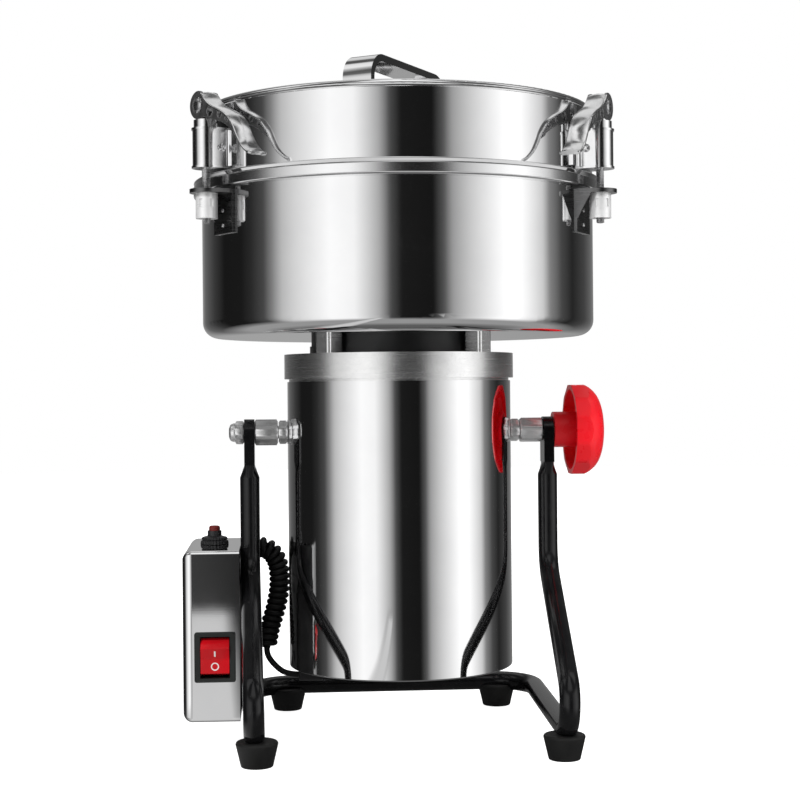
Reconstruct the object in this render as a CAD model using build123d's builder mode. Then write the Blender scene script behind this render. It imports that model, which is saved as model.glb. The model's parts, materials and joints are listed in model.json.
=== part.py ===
from build123d import *
import os
from math import cos, radians, sin

# Swing-type electric grain mill: a bowl with a clamped lid on top of a motor, hung between the
# two ends of a bent tube stand, with a control box on the stand's left side.
# Millimetres. +Z up, +X right, +Y to the rear. The origin is on the bench, under the middle of
# the whole machine, so the motor axis stands a little in front of it.

# ---- driving dimensions ---------------------------------------------------------------------
MOTOR_Y = -8.0            # the motor axis, and the plane of the pivots
FIT = 0.05                # radial clearance of everything that turns or slides

# stand
TUBE_R = 6.25
TUBE_WALL = 1.2
LEG_X = 96.2              # pivot ends of the tube
NOSE_X = 92.0
REAR_X = 96.5
BEND_Z = 107.5            # where the legs turn forward
NOSE_Y = -134.0           # where leg and rail would meet without the nose bend
REAR_Y = 88.0
RAIL_Z = 17.0
BEND_R, NOSE_R, CORNER_R = 25.0, 17.0, 28.0
ROUND_TOP_Z = 166.0       # above this the tube is pressed flat
FLAT_Z = 174.0
FLAT_T, FLAT_W = 6.5, 17.0
PIVOT_Z = 194.7
STUD_R = 4.0
FOOT_H, FOOT_TOP_R, FOOT_BOTTOM_R = 15.0, 13.0, 9.5
FOOT_FRONT = (91.5, -84.0)
FOOT_REAR = (73.0, 88.0)
FOOT_SCREW_R, FOOT_HEAD_R = 1.7, 3.6

# control box
BOX_LEFT, BOX_RIGHT = -138.0, -102.6
BOX_FRONT, BOX_REAR = -32.0, 60.0        # from the pivot plane
BOX_BOTTOM, BOX_TOP = 15.8, 122.2
BOX_WALL, BOX_FACE_R, BOX_BEND_R = 1.2, 6.0, 2.8     # round of the outer face, and of the bends
SWITCH_X, SWITCH_Z = -117.9, 56.4
BEZEL_W, BEZEL_H, BEZEL_T = 25.5, 31.0, 2.0
SWITCH_OPENING_H = 25.8
ROCKER_W, ROCKER_REST = 17.8, 8.0        # width, and the tilt to either side in degrees
BREAKER_X, BREAKER_Y = -119.6, 15.0
BREAKER_BUTTON_R, BREAKER_NUT_R, BREAKER_NECK_TOP, BREAKER_TIP = 3.6, 8.8, 131.0, 134.2
LEAD_Y, LEAD_GLAND_Z = 22.0, 116.0
COIL_R, WIRE_R = 6.25, 2.4
GLAND_Z = 36.8

# knob
KNOB_BACK, KNOB_FACE, KNOB_R = 111.0, 133.0, 29.6
KNOB_LOBES, LOBE_HALF = 6, 17.0          # half the angle of one lobe's flat
HUB_FACE, HUB_R = 99.8, 11.5

# motor
SHELL_R, SHELL_WALL = 71.7, 1.0
SHELL_BOTTOM, SHELL_TOP = 45.6, 226.8
CASTING_R, CASTING_BOTTOM, CASTING_TOP = 73.5, 228.6, 244.2
POST_R, POST_W = 65.0, 12.0
SHAFT_R = 6.0
TIE_BOLTS, TIE_BOLT_CIRCLE_R = (30, 150, 210, 330), 62.5
POSTS = (45, 135, 225, 315)
BASE_PLATE_BOTTOM, BASE_PLATE_TOP = 46.7, 50.0
BEARING_LOW, BEARING_HIGH = 54.0, 232.0
BEARING_W, BEARING_R = 10.0, 16.0
OUTER_RACE_IN, INNER_RACE_OUT = 13.0, 9.0
CORE_BOTTOM, CORE_H = 104.0, 58.0
STATOR_R, YOKE_IN, POLE_IN = 56.0, 43.0, 29.9
ROTOR_R, COMMUTATOR_R, BRUSH_Z = 29.0, 16.0, 82.0
FAN_BOTTOM, FAN_H, FAN_R, FAN_BLADES = 184.0, 16.0, 54.0, 9

# bowl and lid
BOWL_R, BOWL_WALL, BOWL_BOTTOM = 125.0, 1.5, 255.1
BOWL_CORNER_R = 9.5
FLANGE_R, FLANGE_BOTTOM, SEAM_Z = 130.2, 343.8, 350.5
SEAL_HOLE_R = 13.0
BLADE_Z, BLADE_T, BLADE_SPACER_H = 268.0, 3.0, 9.0
BLADE_L, BLADE_TIP_H, UPPER_BLADE_L = 196.0, 14.0, 150.0
LID_FLANGE_TOP, LID_PLATE, LID_TOP = 353.2, 396.0, 398.6
HANDLE_TURN = 31.5        # clockwise from the rear, seen from above
HANDLE_L, HANDLE_W, HANDLE_T, HANDLE_TOP = 105.0, 20.0, 4.5, 430.0
HANDLE_BEND_R, HANDLE_TOE, HANDLE_SCREW_R = 16.0, 32.0, 41.0

# clamps: azimuth of each, and the heading of its closed lever, in degrees
CLAMPS = {"left": (210.0, 306.0), "right": (330.0, 240.0), "rear": (90.0, 186.0)}
CLAMP_R = 137.3
PIN_Z, PIN_R = 391.9, 4.3
HEAD_R, CAM_RISE = 8.4, 0.3              # the head is the cam; its play over the cap when closed
HOUSING_BOTTOM, HOUSING_TOP, HOUSING_R = 354.4, 378.4, 8.2
HOUSING_LIP, HOUSING_FOOT_W = 0.6, 35.6
CAP_R = 7.4
ROD_R, ROD_BOTTOM = 2.5, 321.5
TONGUE_Z, TONGUE_T, TONGUE_R = 339.6, 2.4, 10.2
BRACKET_BOTTOM, BRACKET_HALF = 316.0, 11.5
GUSSET_BOTTOM, GUSSET_REACH, GUSSET_T = 324.0, 10.5, 1.0
NUT_BOTTOM, NUT_R, NUT_SLOTS = 324.5, 6.6, 6
LEVER_W, SHEET = 12.0, 1.5
LEVER_SPINE = [(1.8, 8.3), (4.6, 7.4), (8.9, 2.9), (14.9, -1.2), (23.9, -5.0), (31.2, -9.2),
               (37.0, -15.4), (40.6, -21.2), (45.0, -27.2), (50.2, -31.4), (54.5, -33.2)]
LEVER_UNDERSIDE = [(38.5, -20.3), (32.6, -17.3), (26.7, -14.0), (20.8, -11.9), (14.8, -10.4),
                   (9.8, -8.6), (7.6, -7.8)]
LEVER_HOLLOW = [(-12, -24), (-12, 14), (0.4, 14), (0.4, 7.0), (3.4, 5.6), (7.6, 1.4), (14.2, -3.0),
                (23.2, -6.8), (30.0, -10.9), (35.6, -16.9), (38.4, -21.4), (36, -24)]
LEVER_HOLES = [(13.0, -5.6, 2.9), (23.3, -8.6, 2.0), (30.4, -12.2, 1.5)]

# ---- helpers --------------------------------------------------------------------------------
MOTOR_AXIS = Axis((0, MOTOR_Y, 0), (0, 0, 1))
SECTION = Plane((0, MOTOR_Y, 0), x_dir=(1, 0, 0), z_dir=(0, -1, 0))
BASE = (Align.CENTER, Align.CENTER, Align.MIN)


def at(x, y, z):
    """A point whose y is counted from the motor axis."""
    return (x, MOTOR_Y + y, z)


def level(z):
    """The horizontal plane at height z, centred on the motor axis."""
    return Plane(at(0, 0, z))


def section(*points):
    """Closed (radius, height[, rounding]) profile in the upright plane of the motor axis."""
    with BuildSketch(SECTION) as profile:
        with BuildLine():
            Polyline(*[(point[0], point[1]) for point in points], close=True)
        make_face()
        for point in points:
            if len(point) == 3:
                corner = profile.vertices().sort_by_distance((point[0], point[1], 0))[0]
                fillet(corner, point[2])
    return profile.sketch


def ring(inner, outer, bottom, top):
    """Rectangular profile of a ring about the motor axis."""
    return section((inner, bottom), (outer, bottom), (outer, top), (inner, top))


def around(azimuth, radius, z, turn=0.0):
    """Upright local frame: x points outward at the azimuth (plus turn), z is up."""
    direction = radians(azimuth + turn)
    return Plane(
        at(radius * cos(radians(azimuth)), radius * sin(radians(azimuth)), z),
        x_dir=(cos(direction), sin(direction), 0),
        z_dir=(0, 0, 1),
    )


def radial(azimuth):
    """Upright plane through the motor axis: x outward at the azimuth, y up."""
    direction = radians(azimuth)
    return Plane(
        at(0, 0, 0),
        x_dir=(cos(direction), sin(direction), 0),
        z_dir=(sin(direction), -cos(direction), 0),
    )


def lever_plane(azimuth, heading):
    """Side view of a clamp lever: x along its heading, y up, origin on its pin."""
    turn = radians(heading)
    return Plane(
        at(CLAMP_R * cos(radians(azimuth)), CLAMP_R * sin(radians(azimuth)), PIN_Z),
        x_dir=(cos(turn), sin(turn), 0),
        z_dir=(sin(turn), -cos(turn), 0),
    )


def corner_radii(points):
    """The largest even bend at each inner point of a free lead: 0.45 of the shorter run."""
    radii = []
    for before, here, after in zip(points, points[1:], points[2:]):
        run_in, run_out = Vector(*here) - Vector(*before), Vector(*after) - Vector(*here)
        half_turn = radians(run_in.get_angle(run_out) / 2)
        radii.append(0.45 * min(run_in.length, run_out.length) * cos(half_turn) / sin(half_turn))
    return radii


# ---- stand ----------------------------------------------------------------------------------
half_route = [
    (LEG_X, 0, ROUND_TOP_Z),
    (LEG_X, 0, BEND_Z),
    (NOSE_X, NOSE_Y, RAIL_Z),
    (REAR_X, REAR_Y, RAIL_Z),
]
route = [at(-x, y, z) for x, y, z in half_route] + [at(x, y, z) for x, y, z in half_route[::-1]]
route_radii = [BEND_R, NOSE_R, CORNER_R, CORNER_R, NOSE_R, BEND_R]
foot_points = [at(side * x, y, 0) for side in (-1, 1) for x, y in (FOOT_FRONT, FOOT_REAR)]

with BuildPart() as tube_space:
    with BuildLine() as space_line:
        FilletPolyline(*route, radius=route_radii)
    with BuildSketch(Plane(space_line.line @ 0, z_dir=space_line.line % 0)):
        Circle(TUBE_R + 0.02)
    sweep()

with BuildPart() as stand_tube:
    with BuildLine() as centre_line:
        FilletPolyline(*route, radius=route_radii)
    with BuildSketch(Plane(centre_line.line @ 0, z_dir=centre_line.line % 0)):
        Circle(TUBE_R)
        Circle(TUBE_R - TUBE_WALL, mode=Mode.SUBTRACT)
    sweep()
    for side in (-1, 1):
        with BuildSketch(Plane(at(side * LEG_X, 0, ROUND_TOP_Z))):
            Circle(TUBE_R)
        with BuildSketch(Plane(at(side * LEG_X, 0, FLAT_Z))):
            RectangleRounded(FLAT_T, FLAT_W, 2.0)
        loft()
        eye_plane = Plane(at(side * LEG_X - FLAT_T / 2, 0, 0), x_dir=(0, 1, 0), z_dir=(1, 0, 0))
        with BuildSketch(eye_plane):
            with Locations((0, (FLAT_Z + PIVOT_Z) / 2)):
                Rectangle(FLAT_W, PIVOT_Z - FLAT_Z)
            with Locations((0, PIVOT_Z)):
                Circle(FLAT_W / 2)
                Circle(STUD_R + FIT, mode=Mode.SUBTRACT)
        extrude(amount=FLAT_T)
    with Locations(*[(x, y, RAIL_Z - TUBE_R - 1) for x, y, _ in foot_points]):
        Cylinder(FOOT_SCREW_R + 0.1, 5, align=BASE, mode=Mode.SUBTRACT)

with BuildPart() as rubber_feet:
    with Locations(*foot_points):
        Cone(FOOT_BOTTOM_R, FOOT_TOP_R, FOOT_H, align=BASE)
    fillet(rubber_feet.edges().group_by(Axis.Z)[-1], 1.5)
    fillet(rubber_feet.edges().group_by(Axis.Z)[0], 0.8)
    with Locations(*foot_points):
        Cylinder(FOOT_HEAD_R + 0.2, 4.0, align=BASE, mode=Mode.SUBTRACT)
        Cylinder(FOOT_SCREW_R + 0.1, FOOT_H, align=BASE, mode=Mode.SUBTRACT)
    add(tube_space.part, mode=Mode.SUBTRACT)

# ---- control box ----------------------------------------------------------------------------
box_size = (BOX_RIGHT - BOX_LEFT, BOX_REAR - BOX_FRONT, BOX_TOP - BOX_BOTTOM)
box_centre = at((BOX_LEFT + BOX_RIGHT) / 2, (BOX_FRONT + BOX_REAR) / 2, (BOX_BOTTOM + BOX_TOP) / 2)
BACK_T = 1.5
back_x = BOX_RIGHT - 0.4
gland_bore_r = 3.6
mains_point = at(-120.3, BOX_REAR, 36.0)
MAINS_AXIS = Plane(mains_point, x_dir=(1, 0, 0), z_dir=(0, 1, 0))
BOX_SCREWS = [at(back_x, 30, z) for z in (45.0, 90.0)]

BOX_INSIDE = [length - 2 * BOX_WALL for length in box_size]
with BuildPart() as box_space:
    with Locations(box_centre):
        Box(*BOX_INSIDE)
    fillet(box_space.faces().sort_by(Axis.X)[0].edges(), BOX_FACE_R - BOX_WALL)
    fillet(box_space.edges().filter_by(Axis.X), BOX_BEND_R - BOX_WALL)
    extrude(box_space.faces().sort_by(Axis.X)[-1], amount=BOX_WALL + 1)

with BuildPart() as box_cover:
    with Locations(box_centre):
        Box(*box_size)
    fillet(box_cover.faces().sort_by(Axis.X)[0].edges(), BOX_FACE_R)
    fillet(box_cover.edges().filter_by(Axis.X), BOX_BEND_R)
    add(box_space.part, mode=Mode.SUBTRACT)
    with Locations(at(SWITCH_X, BOX_FRONT, SWITCH_Z)):
        Box(22.4, 6, 28.4, mode=Mode.SUBTRACT)
    with Locations(at(BREAKER_X, BREAKER_Y, BOX_TOP)):
        Cylinder(5.7, 8, mode=Mode.SUBTRACT)
    with Locations(Location(mains_point, (90, 0, 0))):
        Cylinder(6.1, 8, mode=Mode.SUBTRACT)

with BuildPart() as box_back:
    with BuildSketch(Plane(at(back_x, 0, 0), x_dir=(0, 1, 0), z_dir=(-1, 0, 0))):
        with Locations(((BOX_FRONT + BOX_REAR) / 2, -(BOX_BOTTOM + BOX_TOP) / 2)):
            RectangleRounded(BOX_INSIDE[1] - 0.4, BOX_INSIDE[2] - 0.4, 2)
    extrude(amount=BACK_T)
    with Locations(*[Location(point, (0, 90, 0)) for point in BOX_SCREWS]):
        Cylinder(2.1, 8, mode=Mode.SUBTRACT)
    with Locations(Location(at(back_x, LEAD_Y, LEAD_GLAND_Z), (0, 90, 0))):
        Cylinder(3.6, 8, mode=Mode.SUBTRACT)

with BuildPart() as box_bracket:
    with BuildSketch(Plane(at(BOX_RIGHT + 0.1, 0, 0), x_dir=(0, 1, 0), z_dir=(1, 0, 0))):
        with BuildLine():
            Polyline((12, 14), (48, 14), (48, 98), (20, 98), (6, 112), (-4, 112), (-4, 104), (12, 88),
                     close=True)
        make_face()
    extrude(amount=3.0)
    add(tube_space.part, mode=Mode.SUBTRACT)
    with Locations(*[Location(point, (0, 90, 0)) for point in BOX_SCREWS]):
        Cylinder(2.1, 12, mode=Mode.SUBTRACT)

with BuildPart() as stand_screws:
    with Locations(*[(x, y, 1.5) for x, y, _ in foot_points]):
        Cylinder(FOOT_HEAD_R, 2.4, align=BASE)
        Cylinder(FOOT_SCREW_R, 12.0, align=BASE)
    with Locations(*[Location((BOX_RIGHT + 3.1, y, z), (0, 90, 0)) for _, y, z in BOX_SCREWS]):
        Cylinder(3.6, 2.4, align=BASE)
        Cylinder(2.0, 12.0, align=(Align.CENTER, Align.CENTER, Align.MAX))

# rocker switch: the rocker turns about a pin behind the front face
ROCKER_PIVOT = at(SWITCH_X, BOX_FRONT + 5.0, SWITCH_Z)
SIDE = Plane(ROCKER_PIVOT, x_dir=(0, -1, 0), z_dir=(-1, 0, 0))     # x outward, y up

with BuildPart() as switch_body:
    with BuildSketch(Plane(at(SWITCH_X, BOX_FRONT, SWITCH_Z), x_dir=(1, 0, 0), z_dir=(0, -1, 0))):
        RectangleRounded(BEZEL_W, BEZEL_H, 1.5)
    extrude(amount=BEZEL_T)
    chamfer(switch_body.faces().sort_by(Axis.Y)[0].edges(), 0.8)
    with Locations(at(SWITCH_X, BOX_FRONT + 11, SWITCH_Z)):
        Box(22, 22, 28)
    with Locations(at(SWITCH_X, BOX_FRONT + 3, SWITCH_Z)):
        Box(ROCKER_W + 0.6, 14, SWITCH_OPENING_H, mode=Mode.SUBTRACT)
    with Locations(Location(ROCKER_PIVOT, (0, 90, 0))):
        Cylinder(1.5 + FIT, ROCKER_W + 3.0, mode=Mode.SUBTRACT)

rocker_points = [(8.8, 7.4), (7.4, 0), (8.8, -7.4), (1.0, -12.4), (-2.6, 0), (1.0, 12.4)]
tilt = radians(ROCKER_REST)
rocker_at_rest = [
    (u * cos(tilt) + v * sin(tilt), v * cos(tilt) - u * sin(tilt)) for u, v in rocker_points
]

with BuildPart() as rocker:
    with BuildSketch(SIDE):
        with BuildLine():
            Polyline(*rocker_at_rest, close=True)
        make_face()
    extrude(amount=ROCKER_W / 2, both=True)
    with Locations(Location(ROCKER_PIVOT, (0, 90, 0))):
        Cylinder(1.5, ROCKER_W + 2.6)

with BuildPart() as switch_terminals:
    with Locations(*[at(SWITCH_X + dx, BOX_FRONT + 22, SWITCH_Z + dz)
                     for dx in (-5, 5) for dz in (-8, 8)]):
        Box(0.8, 9, 6.3, align=(Align.CENTER, Align.MIN, Align.CENTER))

# resettable breaker in the top of the box
breaker_foot = at(BREAKER_X, BREAKER_Y, 0)
with BuildPart() as breaker_body:
    with Locations((breaker_foot[0], breaker_foot[1], 95.0)):
        Cylinder(8.0, BOX_TOP - BOX_WALL - 95.0, align=BASE)
    with Locations((breaker_foot[0], breaker_foot[1], 110.0)):
        Cylinder(4.5, BREAKER_NECK_TOP - 110.0, align=BASE)
    with Locations((breaker_foot[0], breaker_foot[1], 113.0)):
        Cylinder(BREAKER_BUTTON_R + FIT, 20, align=BASE, mode=Mode.SUBTRACT)

with BuildPart() as breaker_nut:
    for bottom, height in ((BOX_TOP + 0.02, 2.8), (BOX_TOP + 3.4, 2.6)):
        with BuildSketch(Plane(at(BREAKER_X, BREAKER_Y, bottom))):
            Circle(BREAKER_NUT_R)
            with PolarLocations(BREAKER_NUT_R + 0.2, 24):
                Circle(0.55, mode=Mode.SUBTRACT)
        extrude(amount=height)
    with BuildSketch(Plane(at(BREAKER_X, BREAKER_Y, BOX_TOP + 2.8))):
        Circle(BREAKER_NUT_R - 1.6)
    extrude(amount=0.8)
    with BuildSketch(Plane(at(BREAKER_X, BREAKER_Y, BOX_TOP))):
        Circle(4.52)
    extrude(amount=8, mode=Mode.SUBTRACT)

with BuildPart() as breaker_button:
    with Locations((breaker_foot[0], breaker_foot[1], 116.5)):
        Cylinder(BREAKER_BUTTON_R, BREAKER_TIP - 116.5, align=BASE)
    fillet(breaker_button.edges().group_by(Axis.Z)[-1], 1.4)

# glands: the mains cord's inlet at the rear, and the motor lead's outlet on the inner side
with BuildPart() as cord_glands:
    with BuildSketch(MAINS_AXIS):
        RegularPolygon(9.2, 6)
    extrude(amount=5)
    with BuildSketch(MAINS_AXIS.offset(5)):
        Circle(7.4)
    extrude(amount=6, taper=14)
    with BuildSketch(MAINS_AXIS.offset(-8)):
        Circle(6.0)
    extrude(amount=8)
    with BuildSketch(MAINS_AXIS.offset(-8)):
        Circle(gland_bore_r)
    extrude(amount=20, mode=Mode.SUBTRACT)
    with BuildSketch(Plane(at(back_x - BACK_T, LEAD_Y, LEAD_GLAND_Z), x_dir=(0, 1, 0), z_dir=(1, 0, 0))):
        Circle(3.55)
    extrude(amount=BACK_T)
    with BuildSketch(Plane(at(back_x, LEAD_Y, LEAD_GLAND_Z), x_dir=(0, 1, 0), z_dir=(1, 0, 0))):
        Circle(4.7)
    extrude(amount=4.0, taper=8)

# ---- motor lead -----------------------------------------------------------------------------
coil_route = [
    at(-98.9, LEAD_Y, LEAD_GLAND_Z), at(-87.5, LEAD_Y, LEAD_GLAND_Z), at(-78.8, 22, 107.5),
    at(-77.4, 21.5, 94.5), at(-80.5, 19.5, 80.0), at(-86.0, 16.7, 66.0), at(-88.0, 15.5, 53.5),
]
tail_route = [
    at(-88.0, 15.5, 53.5), at(-89.2, 14.78, 46.0), at(-83.5, 14.4, 39.8), at(-74.5, 14, GLAND_Z),
    at(-66.0, 14, GLAND_Z),
]

with BuildPart() as motor_lead_coil:
    with BuildLine() as coil_line:
        FilletPolyline(*coil_route, radius=corner_radii(coil_route))
    with BuildSketch(Plane(coil_line.line @ 0, z_dir=coil_line.line % 0)):
        Circle(COIL_R)
    sweep()

with BuildPart() as motor_lead_tail:
    with BuildLine() as tail_line:
        FilletPolyline(*tail_route, radius=corner_radii(tail_route))
    with BuildSketch(Plane(tail_line.line @ 0, z_dir=tail_line.line % 0)):
        Circle(WIRE_R)
    sweep()

# ---- pivots and knob ------------------------------------------------------------------------
PIVOT_RIGHT = Plane(at(0, 0, PIVOT_Z), x_dir=(0, 1, 0), z_dir=(1, 0, 0))
PLATE_IN, PLATE_OUT = 61.5, 68.6
NUT_IN, NUT_OUT = 72.0, 77.5
SPACER_IN, SPACER_OUT = 78.0, 92.8
EYE_OUT = LEG_X + FLAT_T / 2

with BuildPart() as pivot_studs:
    for side, end in ((-1, 105.5), (1, 121.0)):
        with BuildSketch(PIVOT_RIGHT.offset(side * PLATE_IN)):
            Circle(STUD_R)
        extrude(amount=side * (end - PLATE_IN))

with BuildPart() as pivot_plates:
    for side in (-1, 1):
        with BuildSketch(PIVOT_RIGHT.offset(side * PLATE_IN)):
            RectangleRounded(24, 26, 4)
            Circle(STUD_R, mode=Mode.SUBTRACT)
        extrude(amount=side * (PLATE_OUT - PLATE_IN))

with BuildPart() as pivot_nuts:
    for side in (-1, 1):
        with BuildSketch(PIVOT_RIGHT.offset(side * NUT_IN)):
            RegularPolygon(6.5, 6, major_radius=False)
            Circle(STUD_R, mode=Mode.SUBTRACT)
        extrude(amount=side * (NUT_OUT - NUT_IN))
        with BuildSketch(PIVOT_RIGHT.offset(side * SPACER_IN)):
            RegularPolygon(7.2, 6, major_radius=False)
            Circle(STUD_R, mode=Mode.SUBTRACT)
        extrude(amount=side * (SPACER_OUT - SPACER_IN))

with BuildPart() as acorn_nut:
    with BuildSketch(PIVOT_RIGHT.offset(-EYE_OUT - 0.15)):
        RegularPolygon(6.5, 6, major_radius=False)
    extrude(amount=-5.0)
    with BuildSketch(PIVOT_RIGHT.offset(-EYE_OUT - 5.15)):
        Circle(6.0)
    extrude(amount=-4.5, taper=35)
    with BuildSketch(PIVOT_RIGHT.offset(-EYE_OUT)):
        Circle(STUD_R)
    extrude(amount=-6.1, mode=Mode.SUBTRACT)

lobe_edges = [radians(lobe * 360 / KNOB_LOBES + side * LOBE_HALF)
              for lobe in range(KNOB_LOBES) for side in (-1, 1)]
PIVOT_SECTION = Plane(at(0, 0, PIVOT_Z), x_dir=(1, 0, 0), z_dir=(0, -1, 0))
PIVOT_AXIS = Axis(at(0, 0, PIVOT_Z), (1, 0, 0))

with BuildPart() as knob:
    with BuildSketch(PIVOT_RIGHT.offset(KNOB_BACK)) as knob_outline:
        with BuildLine():
            Polyline(*[(KNOB_R * cos(a), KNOB_R * sin(a)) for a in lobe_edges], close=True)
        make_face()
        fillet(knob_outline.vertices(), 7.0)
    extrude(amount=KNOB_FACE - KNOB_BACK)
    with BuildSketch(PIVOT_SECTION):
        with BuildLine():
            Line((KNOB_BACK - 1, 0), (KNOB_BACK - 1, KNOB_R))
            Spline((KNOB_BACK - 1, KNOB_R), (123.8, 26.8), (127.6, 22.8), (131.0, 13.6), (KNOB_FACE, 0))
            Line((KNOB_FACE, 0), (KNOB_BACK - 1, 0))
        make_face()
    revolve(axis=PIVOT_AXIS, mode=Mode.INTERSECT)
    with BuildSketch(PIVOT_SECTION):
        with BuildLine():
            Polyline((KNOB_BACK - 1, 0), (KNOB_BACK - 1, 26.0), (118.0, 24.8), (122.6, 21.0),
                     (126.0, 13.0), (127.0, 0), close=True)
        make_face()
    revolve(axis=PIVOT_AXIS, mode=Mode.SUBTRACT)
    with BuildSketch(PIVOT_RIGHT.offset(HUB_FACE)):
        Circle(HUB_R)
    extrude(amount=KNOB_FACE - 3 - HUB_FACE)
    with BuildSketch(PIVOT_RIGHT.offset(HUB_FACE)):
        RegularPolygon(7.0, 6, major_radius=False)
    extrude(amount=18, mode=Mode.SUBTRACT)
    with BuildSketch(PIVOT_RIGHT.offset(HUB_FACE)):
        Circle(STUD_R + 0.4)
    extrude(amount=23, mode=Mode.SUBTRACT)

with BuildPart() as knob_insert:
    with BuildSketch(PIVOT_RIGHT.offset(HUB_FACE)):
        RegularPolygon(7.0, 6, major_radius=False)
        Circle(STUD_R + FIT, mode=Mode.SUBTRACT)
    extrude(amount=18)

# ---- motor housing --------------------------------------------------------------------------
with BuildPart() as motor_shell:
    revolve(
        section(
            (68.5, SHELL_BOTTOM), (SHELL_R, SHELL_BOTTOM, 0.9), (SHELL_R, SHELL_TOP),
            (SHELL_R - SHELL_WALL, SHELL_TOP), (SHELL_R - SHELL_WALL, SHELL_BOTTOM + 1.0),
            (68.5, SHELL_BOTTOM + 1.0),
        ),
        axis=MOTOR_AXIS,
    )
    with Locations(Location(at(0, 0, PIVOT_Z), (0, 90, 0))):
        Cylinder(STUD_R + 0.2, 2 * SHELL_R + 2, mode=Mode.SUBTRACT)

with BuildPart() as motor_base:
    revolve(ring(21.0, 70.6, BASE_PLATE_BOTTOM, BASE_PLATE_TOP), axis=MOTOR_AXIS)
    revolve(
        section((7.5, BASE_PLATE_BOTTOM), (30, BASE_PLATE_BOTTOM), (30, BASE_PLATE_TOP),
                (21, BASE_PLATE_TOP), (21, 65), (BEARING_R, 65), (BEARING_R, 53.8), (7.5, 53.8)),
        axis=MOTOR_AXIS,
    )
    with BuildSketch(level(BASE_PLATE_BOTTOM)):
        with PolarLocations(46, 12):
            SlotOverall(22, 5)
    extrude(amount=4, mode=Mode.SUBTRACT)
    with Locations(*[around(azimuth, TIE_BOLT_CIRCLE_R, 46.0).location for azimuth in TIE_BOLTS]):
        Cylinder(2.1, 6, align=BASE, mode=Mode.SUBTRACT)

with BuildPart() as tie_bolts:
    with Locations(*[around(azimuth, TIE_BOLT_CIRCLE_R, 46.65).location for azimuth in TIE_BOLTS]):
        Cylinder(3.5, 2.6, align=(Align.CENTER, Align.CENTER, Align.MAX))
        Cylinder(2.0, 186.0, align=BASE)

with BuildPart() as lead_gland_motor:
    with BuildSketch(Plane(at(-66.0, 14, GLAND_Z), x_dir=(0, 1, 0), z_dir=(1, 0, 0))):
        Circle(4.2)
    extrude(amount=16)
    fillet(lead_gland_motor.edges().group_by(Axis.X)[0], 1.2)
    with Locations(at(-55.0, 14, GLAND_Z + 1)):
        Box(8, 8, 46.65 - GLAND_Z - 1, align=BASE)

with BuildPart() as upper_casting:
    revolve(ring(64.0, CASTING_R, CASTING_BOTTOM, CASTING_TOP), axis=MOTOR_AXIS)
    revolve(ring(66.0, 70.6, 219.0, CASTING_BOTTOM + 1), axis=MOTOR_AXIS)
    revolve(
        section((7.5, 242.1), (7.5, 246), (21, 246), (21, 229), (BEARING_R, 229), (BEARING_R, 242.1)),
        axis=MOTOR_AXIS,
    )
    for azimuth in POSTS:
        with BuildSketch(around(azimuth, 0, 232.0)):
            with Locations((42.5, 0)):
                Rectangle(47, 14)
        extrude(amount=9)
        with BuildSketch(around(azimuth, POST_R, 238.0)):
            RectangleRounded(13, POST_W, 2)
        extrude(amount=BOWL_BOTTOM - 238.0)
        with BuildSketch(around(azimuth, POST_R, 240.0)):
            Circle(2.6)
        extrude(amount=20, mode=Mode.SUBTRACT)
    with Locations(*[around(azimuth, TIE_BOLT_CIRCLE_R, 218.0).location for azimuth in TIE_BOLTS]):
        Cylinder(4.5, 10.0, align=BASE, mode=Mode.SUBTRACT)
        Cylinder(2.1, 20.0, align=BASE, mode=Mode.SUBTRACT)

with BuildPart() as insulator_disc:
    revolve(ring(15.0, 56.0, 249.2, BOWL_BOTTOM), axis=MOTOR_AXIS)
    revolve(ring(22.0, 57.0, CASTING_TOP + 0.4, 249.4), axis=MOTOR_AXIS)
    for azimuth in POSTS:
        with Locations(around(azimuth, 49.0, CASTING_TOP).location):
            Cylinder(2.2, 12, align=BASE, mode=Mode.SUBTRACT)

# ---- motor inside ---------------------------------------------------------------------------
with BuildPart() as stator_core:
    with BuildSketch(level(CORE_BOTTOM)):
        Circle(STATOR_R)
        Circle(YOKE_IN, mode=Mode.SUBTRACT)
    extrude(amount=CORE_H)
    for start in (35.0, 215.0):
        with BuildSketch(radial(start)):
            with Locations(((POLE_IN + YOKE_IN) / 2, CORE_BOTTOM + CORE_H / 2)):
                Rectangle(YOKE_IN - POLE_IN + 0.1, CORE_H)
        revolve(axis=MOTOR_AXIS, revolution_arc=110)

with BuildPart() as stator_coils:
    for start in (20.0, 200.0):
        with BuildSketch(radial(start)):
            with Locations(((POLE_IN + YOKE_IN) / 2, CORE_BOTTOM + CORE_H / 2)):
                Rectangle(10.0, CORE_H + 20)
        revolve(axis=MOTOR_AXIS, revolution_arc=140)
    for start in (34.0, 214.0):
        with BuildSketch(radial(start)):
            with Locations(((POLE_IN + YOKE_IN) / 2, CORE_BOTTOM + CORE_H / 2)):
                Rectangle(20.0, CORE_H + 2)
        revolve(axis=MOTOR_AXIS, revolution_arc=112, mode=Mode.SUBTRACT)

with BuildPart() as brush_holders:
    for side in (-1, 1):
        with Locations(at(side * 32, 0, BRUSH_Z)):
            Box(26, 10, 12)
        with Locations(at(side * 42, 0, 63.5)):
            Box(6, 10, 27)
        with Locations(at(side * 32, 0, BRUSH_Z)):
            Box(30, 6.6, 8.6, mode=Mode.SUBTRACT)

with BuildPart() as carbon_brushes:
    for side in (-1, 1):
        with Locations(at(side * 26.4, 0, BRUSH_Z)):
            Box(20, 6.4, 8.4)

with BuildPart() as bearing_outer_races:
    for bottom in (BEARING_LOW, BEARING_HIGH):
        revolve(ring(OUTER_RACE_IN, BEARING_R, bottom, bottom + BEARING_W), axis=MOTOR_AXIS)

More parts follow.
